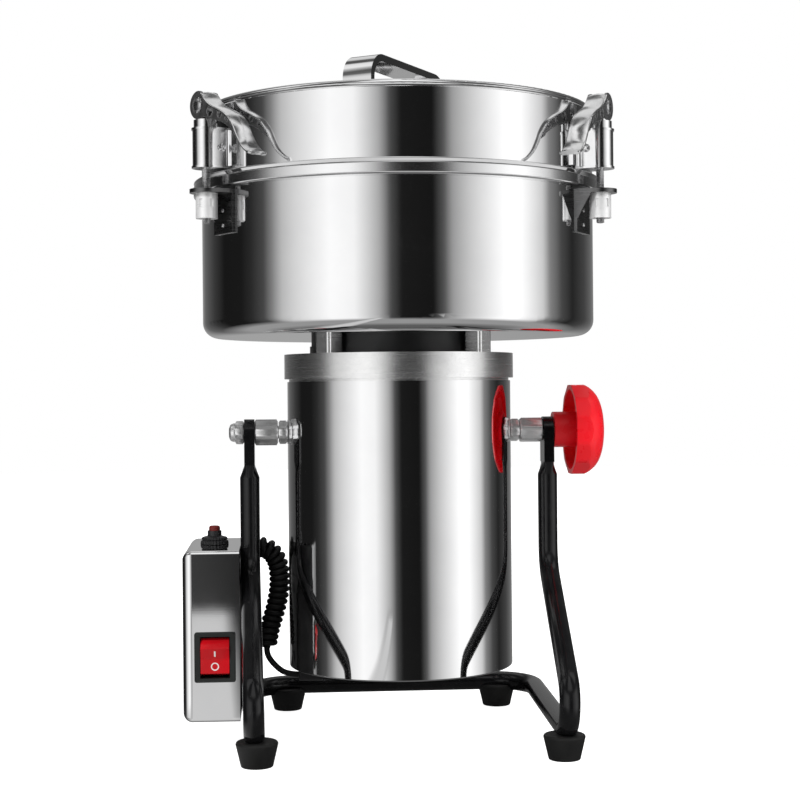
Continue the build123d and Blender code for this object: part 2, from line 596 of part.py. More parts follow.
with BuildPart() as bearing_inner_races:
    for bottom in (BEARING_LOW, BEARING_HIGH):
        revolve(ring(SHAFT_R, INNER_RACE_OUT, bottom, bottom + BEARING_W), axis=MOTOR_AXIS)

with BuildPart() as rotor_shaft:
    revolve(
        section((0, 53.0), (SHAFT_R, 53.0), (SHAFT_R, 264.0), (9.0, 264.0), (9.0, BLADE_Z),
                (SHAFT_R, BLADE_Z), (SHAFT_R, 290.0, 1.0), (0, 290.0)),
        axis=MOTOR_AXIS,
    )

with BuildPart() as rotor_core:
    with BuildSketch(level(CORE_BOTTOM - 2)):
        Circle(ROTOR_R)
        with PolarLocations(ROTOR_R - 2.4, 16):
            Rectangle(5.6, 4.0, mode=Mode.SUBTRACT)
        Circle(SHAFT_R, mode=Mode.SUBTRACT)
    extrude(amount=CORE_H + 4)

with BuildPart() as rotor_windings:
    revolve(section((SHAFT_R, 94), (22, 94, 3), (27, 101.9), (SHAFT_R, 101.9)), axis=MOTOR_AXIS)
    revolve(section((SHAFT_R, 164.1), (27, 164.1), (22, 173, 3), (SHAFT_R, 173)), axis=MOTOR_AXIS)

with BuildPart() as commutator:
    with BuildSketch(level(BRUSH_Z - 10)):
        Circle(COMMUTATOR_R)
        with PolarLocations(COMMUTATOR_R, 24):
            Rectangle(1.2, 0.6, mode=Mode.SUBTRACT)
        Circle(SHAFT_R, mode=Mode.SUBTRACT)
    extrude(amount=20)

with BuildPart() as cooling_fan:
    revolve(ring(SHAFT_R, 12.0, FAN_BOTTOM, FAN_BOTTOM + FAN_H), axis=MOTOR_AXIS)
    revolve(ring(11.0, FAN_R, FAN_BOTTOM, FAN_BOTTOM + 2), axis=MOTOR_AXIS)
    for blade in range(FAN_BLADES):
        with BuildSketch(around(blade * 360 / FAN_BLADES, 34.0, FAN_BOTTOM + 1, turn=25)):
            Rectangle(34, 1.8)
        extrude(amount=FAN_H - 1)

# ---- bowl -----------------------------------------------------------------------------------
BOWL_INSIDE = BOWL_R - BOWL_WALL
FLOOR_Z = BOWL_BOTTOM + BOWL_WALL

with BuildPart() as bowl:
    revolve(
        section(
            (SEAL_HOLE_R, BOWL_BOTTOM), (BOWL_R, BOWL_BOTTOM, BOWL_CORNER_R),
            (BOWL_R, FLANGE_BOTTOM), (FLANGE_R, FLANGE_BOTTOM, 1.4), (FLANGE_R, SEAM_Z, 0.4),
            (BOWL_INSIDE, SEAM_Z), (BOWL_INSIDE, FLOOR_Z, BOWL_CORNER_R - BOWL_WALL),
            (SEAL_HOLE_R, FLOOR_Z),
        ),
        axis=MOTOR_AXIS,
    )
    with Locations(*[around(a, POST_R, 254.0).location for a in POSTS]):
        Cylinder(2.6, 5, align=BASE, mode=Mode.SUBTRACT)

with BuildPart() as bowl_screws:
    with Locations(*[around(a, POST_R, FLOOR_Z).location for a in POSTS]):
        Cylinder(5.0, 3.0, align=BASE)
        Cylinder(2.5, 15.0, align=(Align.CENTER, Align.CENTER, Align.MAX))
    fillet(bowl_screws.edges().group_by(Axis.Z)[-1], 1.5)

with BuildPart() as shaft_seal:
    revolve(
        section((SHAFT_R + FIT, 252.0), (SEAL_HOLE_R, 252.0), (SEAL_HOLE_R, FLOOR_Z), (16, FLOOR_Z),
                (16, 259.0, 1.0), (SHAFT_R + FIT, 263.0)),
        axis=MOTOR_AXIS,
    )

GUSSET_SIDE = 1
with BuildPart() as clamp_brackets:
    for azimuth, _ in CLAMPS.values():
        with BuildSketch(around(azimuth, 0, TONGUE_Z)):
            with BuildLine():
                Polyline((BOWL_R - 2, -BRACKET_HALF), (BOWL_R + 3, -BRACKET_HALF),
                         (CLAMP_R, -TONGUE_R), (CLAMP_R, TONGUE_R),
                         (BOWL_R + 3, BRACKET_HALF), (BOWL_R - 2, BRACKET_HALF), close=True)
            make_face()
            with Locations((CLAMP_R, 0)):
                Circle(TONGUE_R)
        extrude(amount=TONGUE_T)
        with BuildSketch(around(azimuth, 0, BRACKET_BOTTOM)):
            with Locations((BOWL_R, 0)):
                Rectangle(3.0, 2 * BRACKET_HALF)
        extrude(amount=TONGUE_Z - BRACKET_BOTTOM)
        # one gusset stands on the clockwise edge of the plate; the other edge is left plain
        with BuildSketch(radial(azimuth).offset(GUSSET_SIDE * (BRACKET_HALF - GUSSET_T / 2))):
            with BuildLine():
                Polyline((BOWL_R - 1.5, GUSSET_BOTTOM), (BOWL_R + 1.5, GUSSET_BOTTOM),
                         (BOWL_R + GUSSET_REACH, TONGUE_Z), (BOWL_R - 1.5, TONGUE_Z), close=True)
            make_face()
        extrude(amount=GUSSET_T / 2, both=True)
    revolve(ring(BOWL_R - 10, BOWL_R + 0.02, 310.0, SEAM_Z), axis=MOTOR_AXIS, mode=Mode.SUBTRACT)
    with Locations(*[around(a, CLAMP_R, TONGUE_Z - 1).location for a, _ in CLAMPS.values()]):
        Cylinder(4.2, 6, align=BASE, mode=Mode.SUBTRACT)

SLOT_LOW, SLOT_HIGH = TONGUE_Z - 8.6, TONGUE_Z - 3.6
with BuildPart() as thimble_nuts:
    for azimuth, _ in CLAMPS.values():
        for bottom, top, slotted in ((NUT_BOTTOM, SLOT_LOW, False), (SLOT_LOW, SLOT_HIGH, True),
                                     (SLOT_HIGH, TONGUE_Z, False)):
            with BuildSketch(around(azimuth, CLAMP_R, bottom)):
                Circle(NUT_R)
                if slotted:
                    with PolarLocations(NUT_R, NUT_SLOTS, start_angle=30):
                        Rectangle(2.0, 2.1, mode=Mode.SUBTRACT)
                Circle(ROD_R + FIT, mode=Mode.SUBTRACT)
            extrude(amount=top - bottom)

# ---- blades ---------------------------------------------------------------------------------
UPPER_BLADE_Z = BLADE_Z + BLADE_T + BLADE_SPACER_H
BLADE_NUT_Z = UPPER_BLADE_Z + BLADE_T

with BuildPart() as lower_blade:
    with BuildSketch(level(BLADE_Z)):
        Rectangle(BLADE_L, 22)
        Circle(17)
        Circle(SHAFT_R, mode=Mode.SUBTRACT)
    extrude(amount=BLADE_T)
    for side in (-1, 1):
        with BuildSketch(Plane(at(side * (BLADE_L / 2 - 5), 0, BLADE_Z))):
            Rectangle(10, 22)
        extrude(amount=BLADE_TIP_H)

with BuildPart() as blade_spacer:
    revolve(ring(SHAFT_R, 11.0, BLADE_Z + BLADE_T, UPPER_BLADE_Z), axis=MOTOR_AXIS)

with BuildPart() as upper_blade:
    with BuildSketch(Plane(at(0, 0, UPPER_BLADE_Z), x_dir=(0, 1, 0), z_dir=(0, 0, 1))):
        Rectangle(UPPER_BLADE_L, 18)
        Circle(15)
        Circle(SHAFT_R, mode=Mode.SUBTRACT)
    extrude(amount=BLADE_T)

with BuildPart() as blade_nut:
    with BuildSketch(level(BLADE_NUT_Z)):
        RegularPolygon(9.5, 6, major_radius=False)
    extrude(amount=10)
    with BuildSketch(level(BLADE_NUT_Z + 10)):
        Circle(8.6)
    extrude(amount=4, taper=30)
    with BuildSketch(level(BLADE_NUT_Z)):
        Circle(SHAFT_R)
    extrude(amount=8, mode=Mode.SUBTRACT)

# ---- lid ------------------------------------------------------------------------------------
LID_BOTTOM = SEAM_Z + 0.3
HANDLE_SCREWS = (-HANDLE_SCREW_R, HANDLE_SCREW_R)

with BuildPart() as lid_shell:
    revolve(
        section(
            (0, LID_PLATE - BOWL_WALL), (BOWL_INSIDE, LID_PLATE - BOWL_WALL, 3.0),
            (BOWL_INSIDE, LID_BOTTOM), (FLANGE_R - 1.0, LID_BOTTOM), (FLANGE_R + 0.2, LID_FLANGE_TOP, 0.5),
            (BOWL_R, LID_FLANGE_TOP), (BOWL_R, LID_TOP, 2.6), (118.5, LID_TOP, 1.0),
            (118.5, LID_PLATE), (0, LID_PLATE),
        ),
        axis=MOTOR_AXIS,
    )
    with Locations(*[around(90 - HANDLE_TURN, r, 390.0).location for r in HANDLE_SCREWS]):
        Cylinder(2.7, 10, align=BASE, mode=Mode.SUBTRACT)

with BuildPart() as lid_gasket:
    revolve(
        section((118.5, 342.0), (123.1, 342.0, 1.2), (123.1, LID_BOTTOM + 0.1),
                (BOWL_INSIDE, LID_BOTTOM + 0.1),
                (BOWL_INSIDE, 356.0), (118.5, 356.0)),
        axis=MOTOR_AXIS,
    )

handle_direction = around(90 - HANDLE_TURN, 0, 0).x_dir
HANDLE_PLANE = Plane(at(0, 0, 0), x_dir=handle_direction,
                     z_dir=(handle_direction.Y, -handle_direction.X, 0))
grip_half, grip_low = HANDLE_L / 2, LID_PLATE + HANDLE_T

with BuildPart() as lid_handle:
    with BuildSketch(HANDLE_PLANE):
        with BuildLine():
            FilletPolyline(
                (-HANDLE_TOE, LID_PLATE), (-grip_half, LID_PLATE), (-grip_half, HANDLE_TOP),
                (grip_half, HANDLE_TOP), (grip_half, LID_PLATE), (HANDLE_TOE, LID_PLATE),
                radius=[6, HANDLE_BEND_R, HANDLE_BEND_R, 6],
            )
            Line((HANDLE_TOE, LID_PLATE), (HANDLE_TOE, grip_low))
            FilletPolyline(
                (HANDLE_TOE, grip_low), (grip_half - HANDLE_T, grip_low),
                (grip_half - HANDLE_T, HANDLE_TOP - HANDLE_T),
                (-grip_half + HANDLE_T, HANDLE_TOP - HANDLE_T), (-grip_half + HANDLE_T, grip_low),
                (-HANDLE_TOE, grip_low),
                radius=[1.5, HANDLE_BEND_R - HANDLE_T, HANDLE_BEND_R - HANDLE_T, 1.5],
            )
            Line((-HANDLE_TOE, grip_low), (-HANDLE_TOE, LID_PLATE))
        make_face()
    extrude(amount=HANDLE_W / 2, both=True)
    with Locations(*[around(90 - HANDLE_TURN, r, 390.0).location for r in HANDLE_SCREWS]):
        Cylinder(2.7, 12, align=BASE, mode=Mode.SUBTRACT)

with BuildPart() as handle_fixings:
    with Locations(*[around(90 - HANDLE_TURN, r, grip_low).location for r in HANDLE_SCREWS]):
        Cylinder(4.5, 2.6, align=BASE)
        Cylinder(2.5, 16.0, align=(Align.CENTER, Align.CENTER, Align.MAX))
    fillet(handle_fixings.edges().group_by(Axis.Z)[-1], 1.2)
    for r in HANDLE_SCREWS:
        with BuildSketch(around(90 - HANDLE_TURN, r, LID_PLATE - BOWL_WALL - 4.2)):
            RegularPolygon(4.0, 6, major_radius=False)
            Circle(2.5, mode=Mode.SUBTRACT)
        extrude(amount=4.2)

# ---- clamps ---------------------------------------------------------------------------------
LIP_T = 1.3
SIDE_BOTTOM, SIDE_H = HOUSING_BOTTOM + LIP_T, HOUSING_TOP - HOUSING_BOTTOM - 2 * LIP_T
FOOT_T, FOOT_BEND_R = 1.5, 2.0
clamp_mid = (BOWL_R + CLAMP_R) / 2 - 1

with BuildPart() as clamp_housings:
    for azimuth, _ in CLAMPS.values():
        for bottom, height, grow in ((HOUSING_BOTTOM, LIP_T, HOUSING_LIP), (SIDE_BOTTOM, SIDE_H, 0.0),
                                     (HOUSING_TOP - LIP_T, LIP_T, HOUSING_LIP)):
            with BuildSketch(around(azimuth, 0, bottom)):
                with Locations((clamp_mid, 0)):
                    Rectangle(CLAMP_R - BOWL_R + 2, 2 * (HOUSING_R + grow))
                with Locations((CLAMP_R, 0)):
                    Circle(HOUSING_R + grow)
            extrude(amount=height)
        with BuildSketch(around(azimuth, 0, SIDE_BOTTOM)):
            with Locations((BOWL_R + FOOT_T / 2 - 1, 0)):
                Rectangle(FOOT_T + 2, HOUSING_FOOT_W)
            for side in (-1, 1):
                with Locations((BOWL_R + FOOT_T + FOOT_BEND_R / 2, side * (HOUSING_R + FOOT_BEND_R / 2))):
                    Rectangle(FOOT_BEND_R, FOOT_BEND_R)
                with Locations((BOWL_R + FOOT_T + FOOT_BEND_R, side * (HOUSING_R + FOOT_BEND_R))):
                    Circle(FOOT_BEND_R, mode=Mode.SUBTRACT)
        extrude(amount=SIDE_H)
        with BuildSketch(around(azimuth, 0, SIDE_BOTTOM)):
            with Locations((clamp_mid + 2, 0)):
                Rectangle(CLAMP_R - BOWL_R - 2, 2 * (HOUSING_R - SHEET))
            with Locations((CLAMP_R, 0)):
                Circle(HOUSING_R - SHEET)
        extrude(amount=SIDE_H, mode=Mode.SUBTRACT)
    revolve(ring(BOWL_R - 12, BOWL_R + 0.02, 350.0, 380.0), axis=MOTOR_AXIS, mode=Mode.SUBTRACT)
    with Locations(*[around(a, CLAMP_R, 350.0).location for a, _ in CLAMPS.values()]):
        Cylinder(ROD_R + FIT, 40, align=BASE, mode=Mode.SUBTRACT)

with BuildPart() as clamp_caps:
    for azimuth, _ in CLAMPS.values():
        with BuildSketch(around(azimuth, CLAMP_R, HOUSING_TOP)):
            Circle(CAP_R)
            Circle(ROD_R + FIT, mode=Mode.SUBTRACT)
        extrude(amount=PIN_Z - HEAD_R - CAM_RISE - HOUSING_TOP)

with BuildPart() as clamp_screws:
    for azimuth, _ in CLAMPS.values():
        for side in (-1, 1):
            outward = around(azimuth, CLAMP_R - 6.1, 366.6)
            with BuildSketch(Plane(outward.origin, x_dir=outward.x_dir,
                                   z_dir=outward.y_dir * side).offset(HOUSING_R)):
                Circle(2.6)
            extrude(amount=1.4)

rods, levers = {}, {}
for name, (azimuth, heading) in CLAMPS.items():
    side_view = lever_plane(azimuth, heading)

    with BuildPart() as clamp_rod:
        with BuildSketch(around(azimuth, CLAMP_R, ROD_BOTTOM)):
            Circle(ROD_R)
        extrude(amount=PIN_Z - ROD_BOTTOM)
        with BuildSketch(side_view):
            Circle(PIN_R)
        extrude(amount=LEVER_W / 2 + 0.3, both=True)

    with BuildPart() as clamp_lever:
        with BuildSketch(side_view):
            Circle(HEAD_R)
            with BuildLine():
                Polyline((0, HEAD_R), *LEVER_SPINE[1:7], *LEVER_UNDERSIDE, (0, -HEAD_R), close=True)
            make_face()
        extrude(amount=LEVER_W / 2, both=True)
        with BuildSketch(side_view):
            with BuildLine():
                upper = Spline(*LEVER_SPINE)
                offset_points = [(x - 0.9, y - SHEET) for x, y in LEVER_SPINE]
                lower = Spline(*offset_points)
                Line(upper @ 0, lower @ 0)
                Line(upper @ 1, lower @ 1)
            make_face()
        extrude(amount=LEVER_W / 2 + 0.4, both=True)
        with BuildSketch(side_view):
            Circle(PIN_R + FIT)
            for x, y, r in LEVER_HOLES:
                with Locations((x, y)):
                    Circle(r)
        extrude(amount=LEVER_W, both=True, mode=Mode.SUBTRACT)
        with BuildSketch(side_view):
            with BuildLine():
                Polyline(*LEVER_HOLLOW, close=True)
            make_face()
        extrude(amount=LEVER_W / 2 - SHEET, both=True, mode=Mode.SUBTRACT)
    rods[name] = clamp_rod
    levers[name] = clamp_lever

# ---- write every piece ----------------------------------------------------------------------
pieces = {
    "stand_tube": stand_tube, "rubber_feet": rubber_feet, "stand_screws": stand_screws,
    "box_cover": box_cover, "box_back": box_back, "box_bracket": box_bracket,
    "switch_body": switch_body, "rocker": rocker,
    "switch_terminals": switch_terminals, "breaker_body": breaker_body,
    "breaker_nut": breaker_nut, "breaker_button": breaker_button, "cord_glands": cord_glands,
    "motor_lead_coil": motor_lead_coil,
    "motor_lead_tail": motor_lead_tail, "pivot_studs": pivot_studs, "pivot_plates": pivot_plates,
    "pivot_nuts": pivot_nuts, "acorn_nut": acorn_nut, "knob": knob,
    "knob_insert": knob_insert, "motor_shell": motor_shell, "motor_base": motor_base,
    "tie_bolts": tie_bolts, "lead_gland_motor": lead_gland_motor, "upper_casting": upper_casting,
    "insulator_disc": insulator_disc, "stator_core": stator_core, "stator_coils": stator_coils,
    "brush_holders": brush_holders, "carbon_brushes": carbon_brushes,
    "bearing_outer_races": bearing_outer_races, "bearing_inner_races": bearing_inner_races,
    "rotor_shaft": rotor_shaft, "rotor_core": rotor_core, "rotor_windings": rotor_windings,
    "commutator": commutator, "cooling_fan": cooling_fan, "bowl": bowl,
    "bowl_screws": bowl_screws, "shaft_seal": shaft_seal, "clamp_brackets": clamp_brackets,
    "thimble_nuts": thimble_nuts, "lower_blade": lower_blade, "blade_spacer": blade_spacer,
    "upper_blade": upper_blade, "blade_nut": blade_nut, "lid_shell": lid_shell,
    "lid_gasket": lid_gasket, "lid_handle": lid_handle, "handle_fixings": handle_fixings,
    "clamp_housings": clamp_housings, "clamp_caps": clamp_caps,
    "clamp_screws": clamp_screws,
}
for name in CLAMPS:
    pieces[f"clamp_rod_{name}"] = rods[name]
    pieces[f"clamp_lever_{name}"] = levers[name]

os.makedirs("parts", exist_ok=True)
for name, piece in pieces.items():
    piece.part.label = name
    export_step(piece.part, f"parts/{name}.step")

print("lead bend radii", [round(r, 1) for r in corner_radii(coil_route) + corner_radii(tail_route)])
lead_lengths = [sum(edge.length for edge in line.edges()) for line in (coil_line, tail_line)]
print("lead lengths", [round(length, 1) for length in lead_lengths])
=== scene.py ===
import json
import math

import bmesh
import bpy
from mathutils import Matrix, Vector


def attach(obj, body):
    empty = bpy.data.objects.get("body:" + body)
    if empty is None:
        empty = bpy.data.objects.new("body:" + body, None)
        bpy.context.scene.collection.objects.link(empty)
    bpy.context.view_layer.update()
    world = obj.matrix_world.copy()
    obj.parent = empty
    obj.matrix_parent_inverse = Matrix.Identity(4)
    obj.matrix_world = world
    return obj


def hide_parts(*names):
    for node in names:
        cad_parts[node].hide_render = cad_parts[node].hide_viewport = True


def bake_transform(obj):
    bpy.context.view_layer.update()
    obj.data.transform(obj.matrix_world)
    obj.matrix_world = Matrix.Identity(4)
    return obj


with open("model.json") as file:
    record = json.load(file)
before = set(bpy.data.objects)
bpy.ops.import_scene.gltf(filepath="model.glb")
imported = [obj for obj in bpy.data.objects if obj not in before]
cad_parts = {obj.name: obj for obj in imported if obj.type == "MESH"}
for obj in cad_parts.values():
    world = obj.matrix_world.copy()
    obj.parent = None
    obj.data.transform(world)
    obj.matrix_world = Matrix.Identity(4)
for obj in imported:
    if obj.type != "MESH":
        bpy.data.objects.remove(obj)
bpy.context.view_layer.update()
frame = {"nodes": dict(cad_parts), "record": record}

# Electric grain mill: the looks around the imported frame. Metres, +Z up, +X right, +Y to the rear.
# The pieces are drawn in millimetres from the motor axis, and the studio in metres.
MM = 0.001
MOTOR_Y = -0.008                       # the motor axis stands this far in front of the origin
ALL_ROUND = 2 * math.pi
scene = bpy.context.scene
nodes = frame["nodes"]


def at(x, y, z):
    """A point in metres from millimetres, with y counted from the motor axis."""
    return Vector((x * MM, MOTOR_Y + y * MM, z * MM))


# ---- materials ------------------------------------------------------------------------------
class Nodes:
    """Short ways to build a shader's node tree."""

    def __init__(self, tree):
        self.tree = tree

    def node(self, kind, **settings):
        """A new node. Each setting is one of its inputs, with _ for a space, or a property."""
        made = self.tree.nodes.new("ShaderNode" + kind)
        for key, value in settings.items():
            socket = key.replace("_", " ")
            if socket in made.inputs:
                made.inputs[socket].default_value = value
            else:
                setattr(made, key, value)
        return made

    def link(self, source, target):
        self.tree.links.new(source, target)

    def object_place(self):
        return self.node("TexCoord").outputs["Object"]

    def parts(self, vector):
        split = self.node("SeparateXYZ")
        self.link(vector, split.inputs["Vector"])
        return split.outputs

    def length(self, vector):
        measured = self.node("VectorMath", operation="LENGTH")
        self.link(vector, measured.inputs[0])
        return measured.outputs["Value"]

    def maths(self, operation, *terms):
        """The result for terms that are numbers or other nodes' outputs."""
        made = self.node("Math", operation=operation)
        for socket, term in zip(made.inputs, terms):
            if isinstance(term, (int, float)):
                socket.default_value = term
            else:
                self.link(term, socket)
        return made.outputs["Value"]

    def ranged(self, source, start, stop, low=0.0, high=1.0, **settings):
        """Low at start and high at stop of the source, even between them and held beyond them."""
        mapped = self.node("MapRange", From_Min=start, From_Max=stop, To_Min=low, To_Max=high,
                           **settings)
        self.link(source, mapped.inputs["Value"])
        return mapped.outputs["Result"]

    def between(self, source, rise, fall):
        """1 between two ramps of the source, each given by where it is 0 and where it is 1."""
        return self.maths("MULTIPLY", self.ranged(source, *rise), self.ranged(source, *fall))

    def ramp(self, source, stops):
        """A colour ramp of (position, colour) stops, where one number is a grey."""
        made = self.node("ValToRGB")
        elements = made.color_ramp.elements
        while len(elements) < len(stops):
            elements.new(0.5)
        for element, (position, colour) in zip(elements, stops):
            element.position = position
            element.color = (*(colour if isinstance(colour, tuple) else [colour] * 3), 1)
        self.link(source, made.inputs["Fac"])
        return made.outputs["Color"]

    def mixed(self, factor, low, high):
        """A colour between low and high, which may be one grey level."""
        made = self.node("Mix", data_type="RGBA")
        self.link(factor, made.inputs["Factor"])
        self.link(low, made.inputs["A"])
        if isinstance(high, float):
            made.inputs["B"].default_value = (high, high, high, 1)
        else:
            self.link(high, made.inputs["B"])
        return made.outputs["Result"]

    def either(self, factor, first, second):
        """The first shader node where the factor is 0, and the second where it is 1."""
        made = self.node("MixShader")
        self.link(factor, made.inputs["Fac"])
        self.link(first.outputs[0], made.inputs[1])
        self.link(second.outputs[0], made.inputs[2])
        return made


class Finish(Nodes):
    """One procedural material: a Principled shader and the nodes that feed it."""

    def __init__(self, name, **values):
        self.material = bpy.data.materials.new(name)
        self.material.use_nodes = True
        super().__init__(self.material.node_tree)
        self.shader = self.tree.nodes["Principled BSDF"]
        for socket, value in values.items():
            self.shader.inputs[socket.replace("_", " ")].default_value = value
        self.place = self.object_place()

    def noise(self, scale, detail=3.0, stretch=(1, 1, 1), roughness=0.5):
        """A noise over the object, finer along the axes that stretch multiplies."""
        mapping = self.node("Mapping", Scale=stretch)
        self.link(self.place, mapping.inputs["Vector"])
        texture = self.node("TexNoise", Scale=scale, Detail=detail, Roughness=roughness)
        self.link(mapping.outputs["Vector"], texture.inputs["Vector"])
        return texture.outputs["Fac"]

    def level_bands(self, scale, distortion):
        wave = self.node("TexWave", bands_direction="Z", Scale=scale, Distortion=distortion)
        self.link(self.place, wave.inputs["Vector"])
        return wave.outputs["Fac"]

    def colour_from(self, source, *stops):
        self.link(self.ramp(source, stops), self.shader.inputs["Base Color"])

    def roughness_from(self, source, low, high):
        """The roughness goes from low to high over the middle of a noise, where most of it lies."""
        self.link(self.ranged(source, 0.3, 0.7, low, high), self.shader.inputs["Roughness"])

    def bump_from(self, *layers):
        """Each layer is (height, strength, distance in mm)."""
        normal = None
        for height, strength, distance in layers:
            bump = self.node("Bump", Strength=strength, Distance=distance * MM)
            self.link(height, bump.inputs["Height"])
            if normal:
                self.link(normal, bump.inputs["Normal"])
            normal = bump.outputs["Normal"]
        self.link(normal, self.shader.inputs["Normal"])


FLANGE_LOW, FLANGE_HIGH = 0.3437, 0.3507    # the bowl's flange, which is brushed
FLANGE_EDGE, FLANGE_BRUSHED = 0.0003, 0.11  # the width of the change, and the added roughness


def polished_steel():
    """Mirror-polished sheet: faint smudges, hairlines round the axis, a slow ripple, and a brushed
    band on the bowl's flange."""
    steel = Finish("polished_steel", Metallic=1.0)
    smudge = steel.noise(28, 6, roughness=0.62)
    steel.colour_from(smudge, (0.3, (0.83, 0.83, 0.835)), (0.7, (0.87, 0.87, 0.872)))
    band = steel.between(steel.parts(steel.place)["Z"], (FLANGE_LOW, FLANGE_LOW + FLANGE_EDGE),
                         (FLANGE_HIGH, FLANGE_HIGH - FLANGE_EDGE))
    smooth = steel.ranged(smudge, 0.3, 0.7, 0.035, 0.075)
    rough = steel.maths("MULTIPLY_ADD", band, FLANGE_BRUSHED, smooth)
    steel.link(rough, steel.shader.inputs["Roughness"])
    steel.bump_from((steel.noise(14, 1), 0.10, 0.4), (steel.noise(9, 2, (1, 1, 320)), 0.05, 0.02))
    return steel.material


def cast_aluminium():
    """Casting with turned faces: fine level tool marks and a few pores."""
    cast = Finish("cast_aluminium", Metallic=0.92)
    marks = cast.noise(14, 3, (1, 1, 170))
    pores = cast.ranged(cast.noise(1500, 2), 0.30, 0.36, 1.0, 0.0)
    cast.colour_from(cast.noise(70, 6, roughness=0.6), (0.25, 0.78), (0.75, (0.94, 0.94, 0.935)))
    cast.roughness_from(marks, 0.16, 0.28)
    cast.bump_from((marks, 0.35, 0.06), (pores, 0.4, 0.05))
    return cast.material


def laminations():
    """Varnished stack of thin sheets."""
    stack = Finish("laminations", Metallic=0.7)
    bands = stack.level_bands(320.0, 0.4)
    stack.colour_from(stack.noise(60, 4), (0.3, (0.10, 0.10, 0.11)), (0.7, (0.21, 0.20, 0.19)))
    stack.roughness_from(bands, 0.35, 0.55)
    stack.bump_from((bands, 0.5, 0.1))
    return stack.material


def enamelled_copper():
    """Varnished wire, laid in rows."""
    wire = Finish("enamelled_copper", Metallic=0.9, Coat_Weight=0.4, Coat_Roughness=0.2)
    bands = wire.level_bands(200.0, 1.5)
    wire.colour_from(bands, (0.2, (0.30, 0.09, 0.03)), (0.8, (0.66, 0.28, 0.11)))
    wire.roughness_from(wire.noise(200), 0.25, 0.40)
    wire.bump_from((bands, 0.7, 0.3))
    return wire.material


EVEN = (1, 1, 1)                       # the stretch of a noise that isn't stretched
# Noises that a finish uses twice. A noise is (scale, detail, stretch, roughness), of which only the
# scale has to be given.
TURNING, DRAWING = (60, 3, (1, 1, 30)), (300, 3, (1, 1, 0.12))
GRIT, CARBON_GRAIN = (900, 2), (1200, 3)


def grained(name, tone, colours, wear, roughness, *bumps, **values):
    """A finish whose colour follows the noise tone and whose roughness follows the noise wear, or
    tone where wear is None. Each bump is (noise, strength, distance in mm)."""
    finish = Finish(name, **values)
    cloud = finish.noise(*tone)
    finish.colour_from(cloud, *colours)
    finish.roughness_from(finish.noise(*wear) if wear else cloud, *roughness)
    finish.bump_from(*[(finish.noise(*noise), *depth) for noise, *depth in bumps])
    return finish.material


def pressed_steel(name, dark, light, roughness, dents):
    """Pressed sheet of the clamps, bright unless given darker colours as painted shade: cloudy plating,
    drawing marks and small dents.
    """
    return grained(name, (120, 5), ((0.3, dark), (0.7, light)), DRAWING, roughness,
                   ((110, 2), dents, 0.12), (DRAWING, 0.15, 0.02), Metallic=1.0)


def satin_zinc(name, metallic):
    """Turned nuts with a dull white plating that scatters much of the light."""
    return grained(name, (180, 5), ((0.3, 0.86), (0.7, 0.95)), TURNING, (0.26, 0.42),
                   (TURNING, 0.25, 0.04), Metallic=metallic)


def machined_steel(name, dark, light, roughness):
    """Bare steel with turning marks."""
    return grained(name, (110, 5), ((0.3, dark), (0.7, light)), TURNING, roughness,
                   (TURNING, 0.25, 0.04), Metallic=1.0)


def moulded_plastic(name, dark, light, roughness, grain=1500, depth=0.05, **values):
    """Injection-moulded plastic: a fine spark grain and a faint flow pattern."""
    return grained(name, (45, 4), ((0.3, dark), (0.75, light)), None, roughness,
                   ((grain, 2), 0.22, depth), **values)


STEEL, ALUMINIUM = polished_steel(), cast_aluminium()
LAMINATIONS, COPPER = laminations(), enamelled_copper()
ZINC = grained("bright_zinc", (160, 5, EVEN, 0.6), ((0.25, (0.74, 0.74, 0.75)), (0.75, 0.93)),
               None, (0.16, 0.30), ((420, 3), 0.35, 0.06), ((2600,), 0.12, 0.02), Metallic=1.0)
BRASS = grained("brass", (150, 5), ((0.3, (0.66, 0.46, 0.17)), (0.7, (0.80, 0.60, 0.27))),
                None, (0.20, 0.36), ((700,), 0.2, 0.04), Metallic=1.0)
# stoved gloss black on bent tube, with orange peel
BLACK = grained("gloss_black", (60, 6, EVEN, 0.65),
                ((0.35, (0.004, 0.004, 0.0045)), (0.8, (0.010, 0.010, 0.0105))),
                None, (0.10, 0.18), ((520, 2), 0.16, 0.12), Specular_IOR_Level=0.35)
SATIN = grained("satin_black_steel", (50, 5), ((0.3, (0.016, 0.016, 0.017)), (0.75, 0.035)),
                GRIT, (0.38, 0.52), (GRIT, 0.25, 0.06))
RUBBER = grained("black_rubber", (90, 6, EVEN, 0.65),
                 ((0.3, 0.006), (0.8, (0.015, 0.015, 0.0145))),
                 None, (0.48, 0.68), ((2400, 2), 0.30, 0.06), Specular_IOR_Level=0.35)
LEAD = grained("lead_rubber", (140, 4), ((0.3, 0.006), (0.8, 0.014)),
               None, (0.42, 0.58), ((1800, 2), 0.18, 0.04), Specular_IOR_Level=0.3)
SILICONE = grained("white_silicone", (80, 4), ((0.3, (0.70, 0.70, 0.68)), (0.75, (0.80, 0.80, 0.78))),
                   None, (0.40, 0.55), ((1600,), 0.15, 0.04),
                   Subsurface_Weight=0.2, Subsurface_Scale=0.002)
GRAPHITE = grained("graphite", CARBON_GRAIN, ((0.3, 0.02), (0.7, 0.06)),
                   None, (0.45, 0.65), (CARBON_GRAIN, 0.3, 0.05))
INK = grained("white_print", (300, 4), ((0.3, (0.84, 0.78, 0.77)), (0.7, (0.93, 0.89, 0.88))),
              None, (0.35, 0.5), ((2500,), 0.1, 0.03))
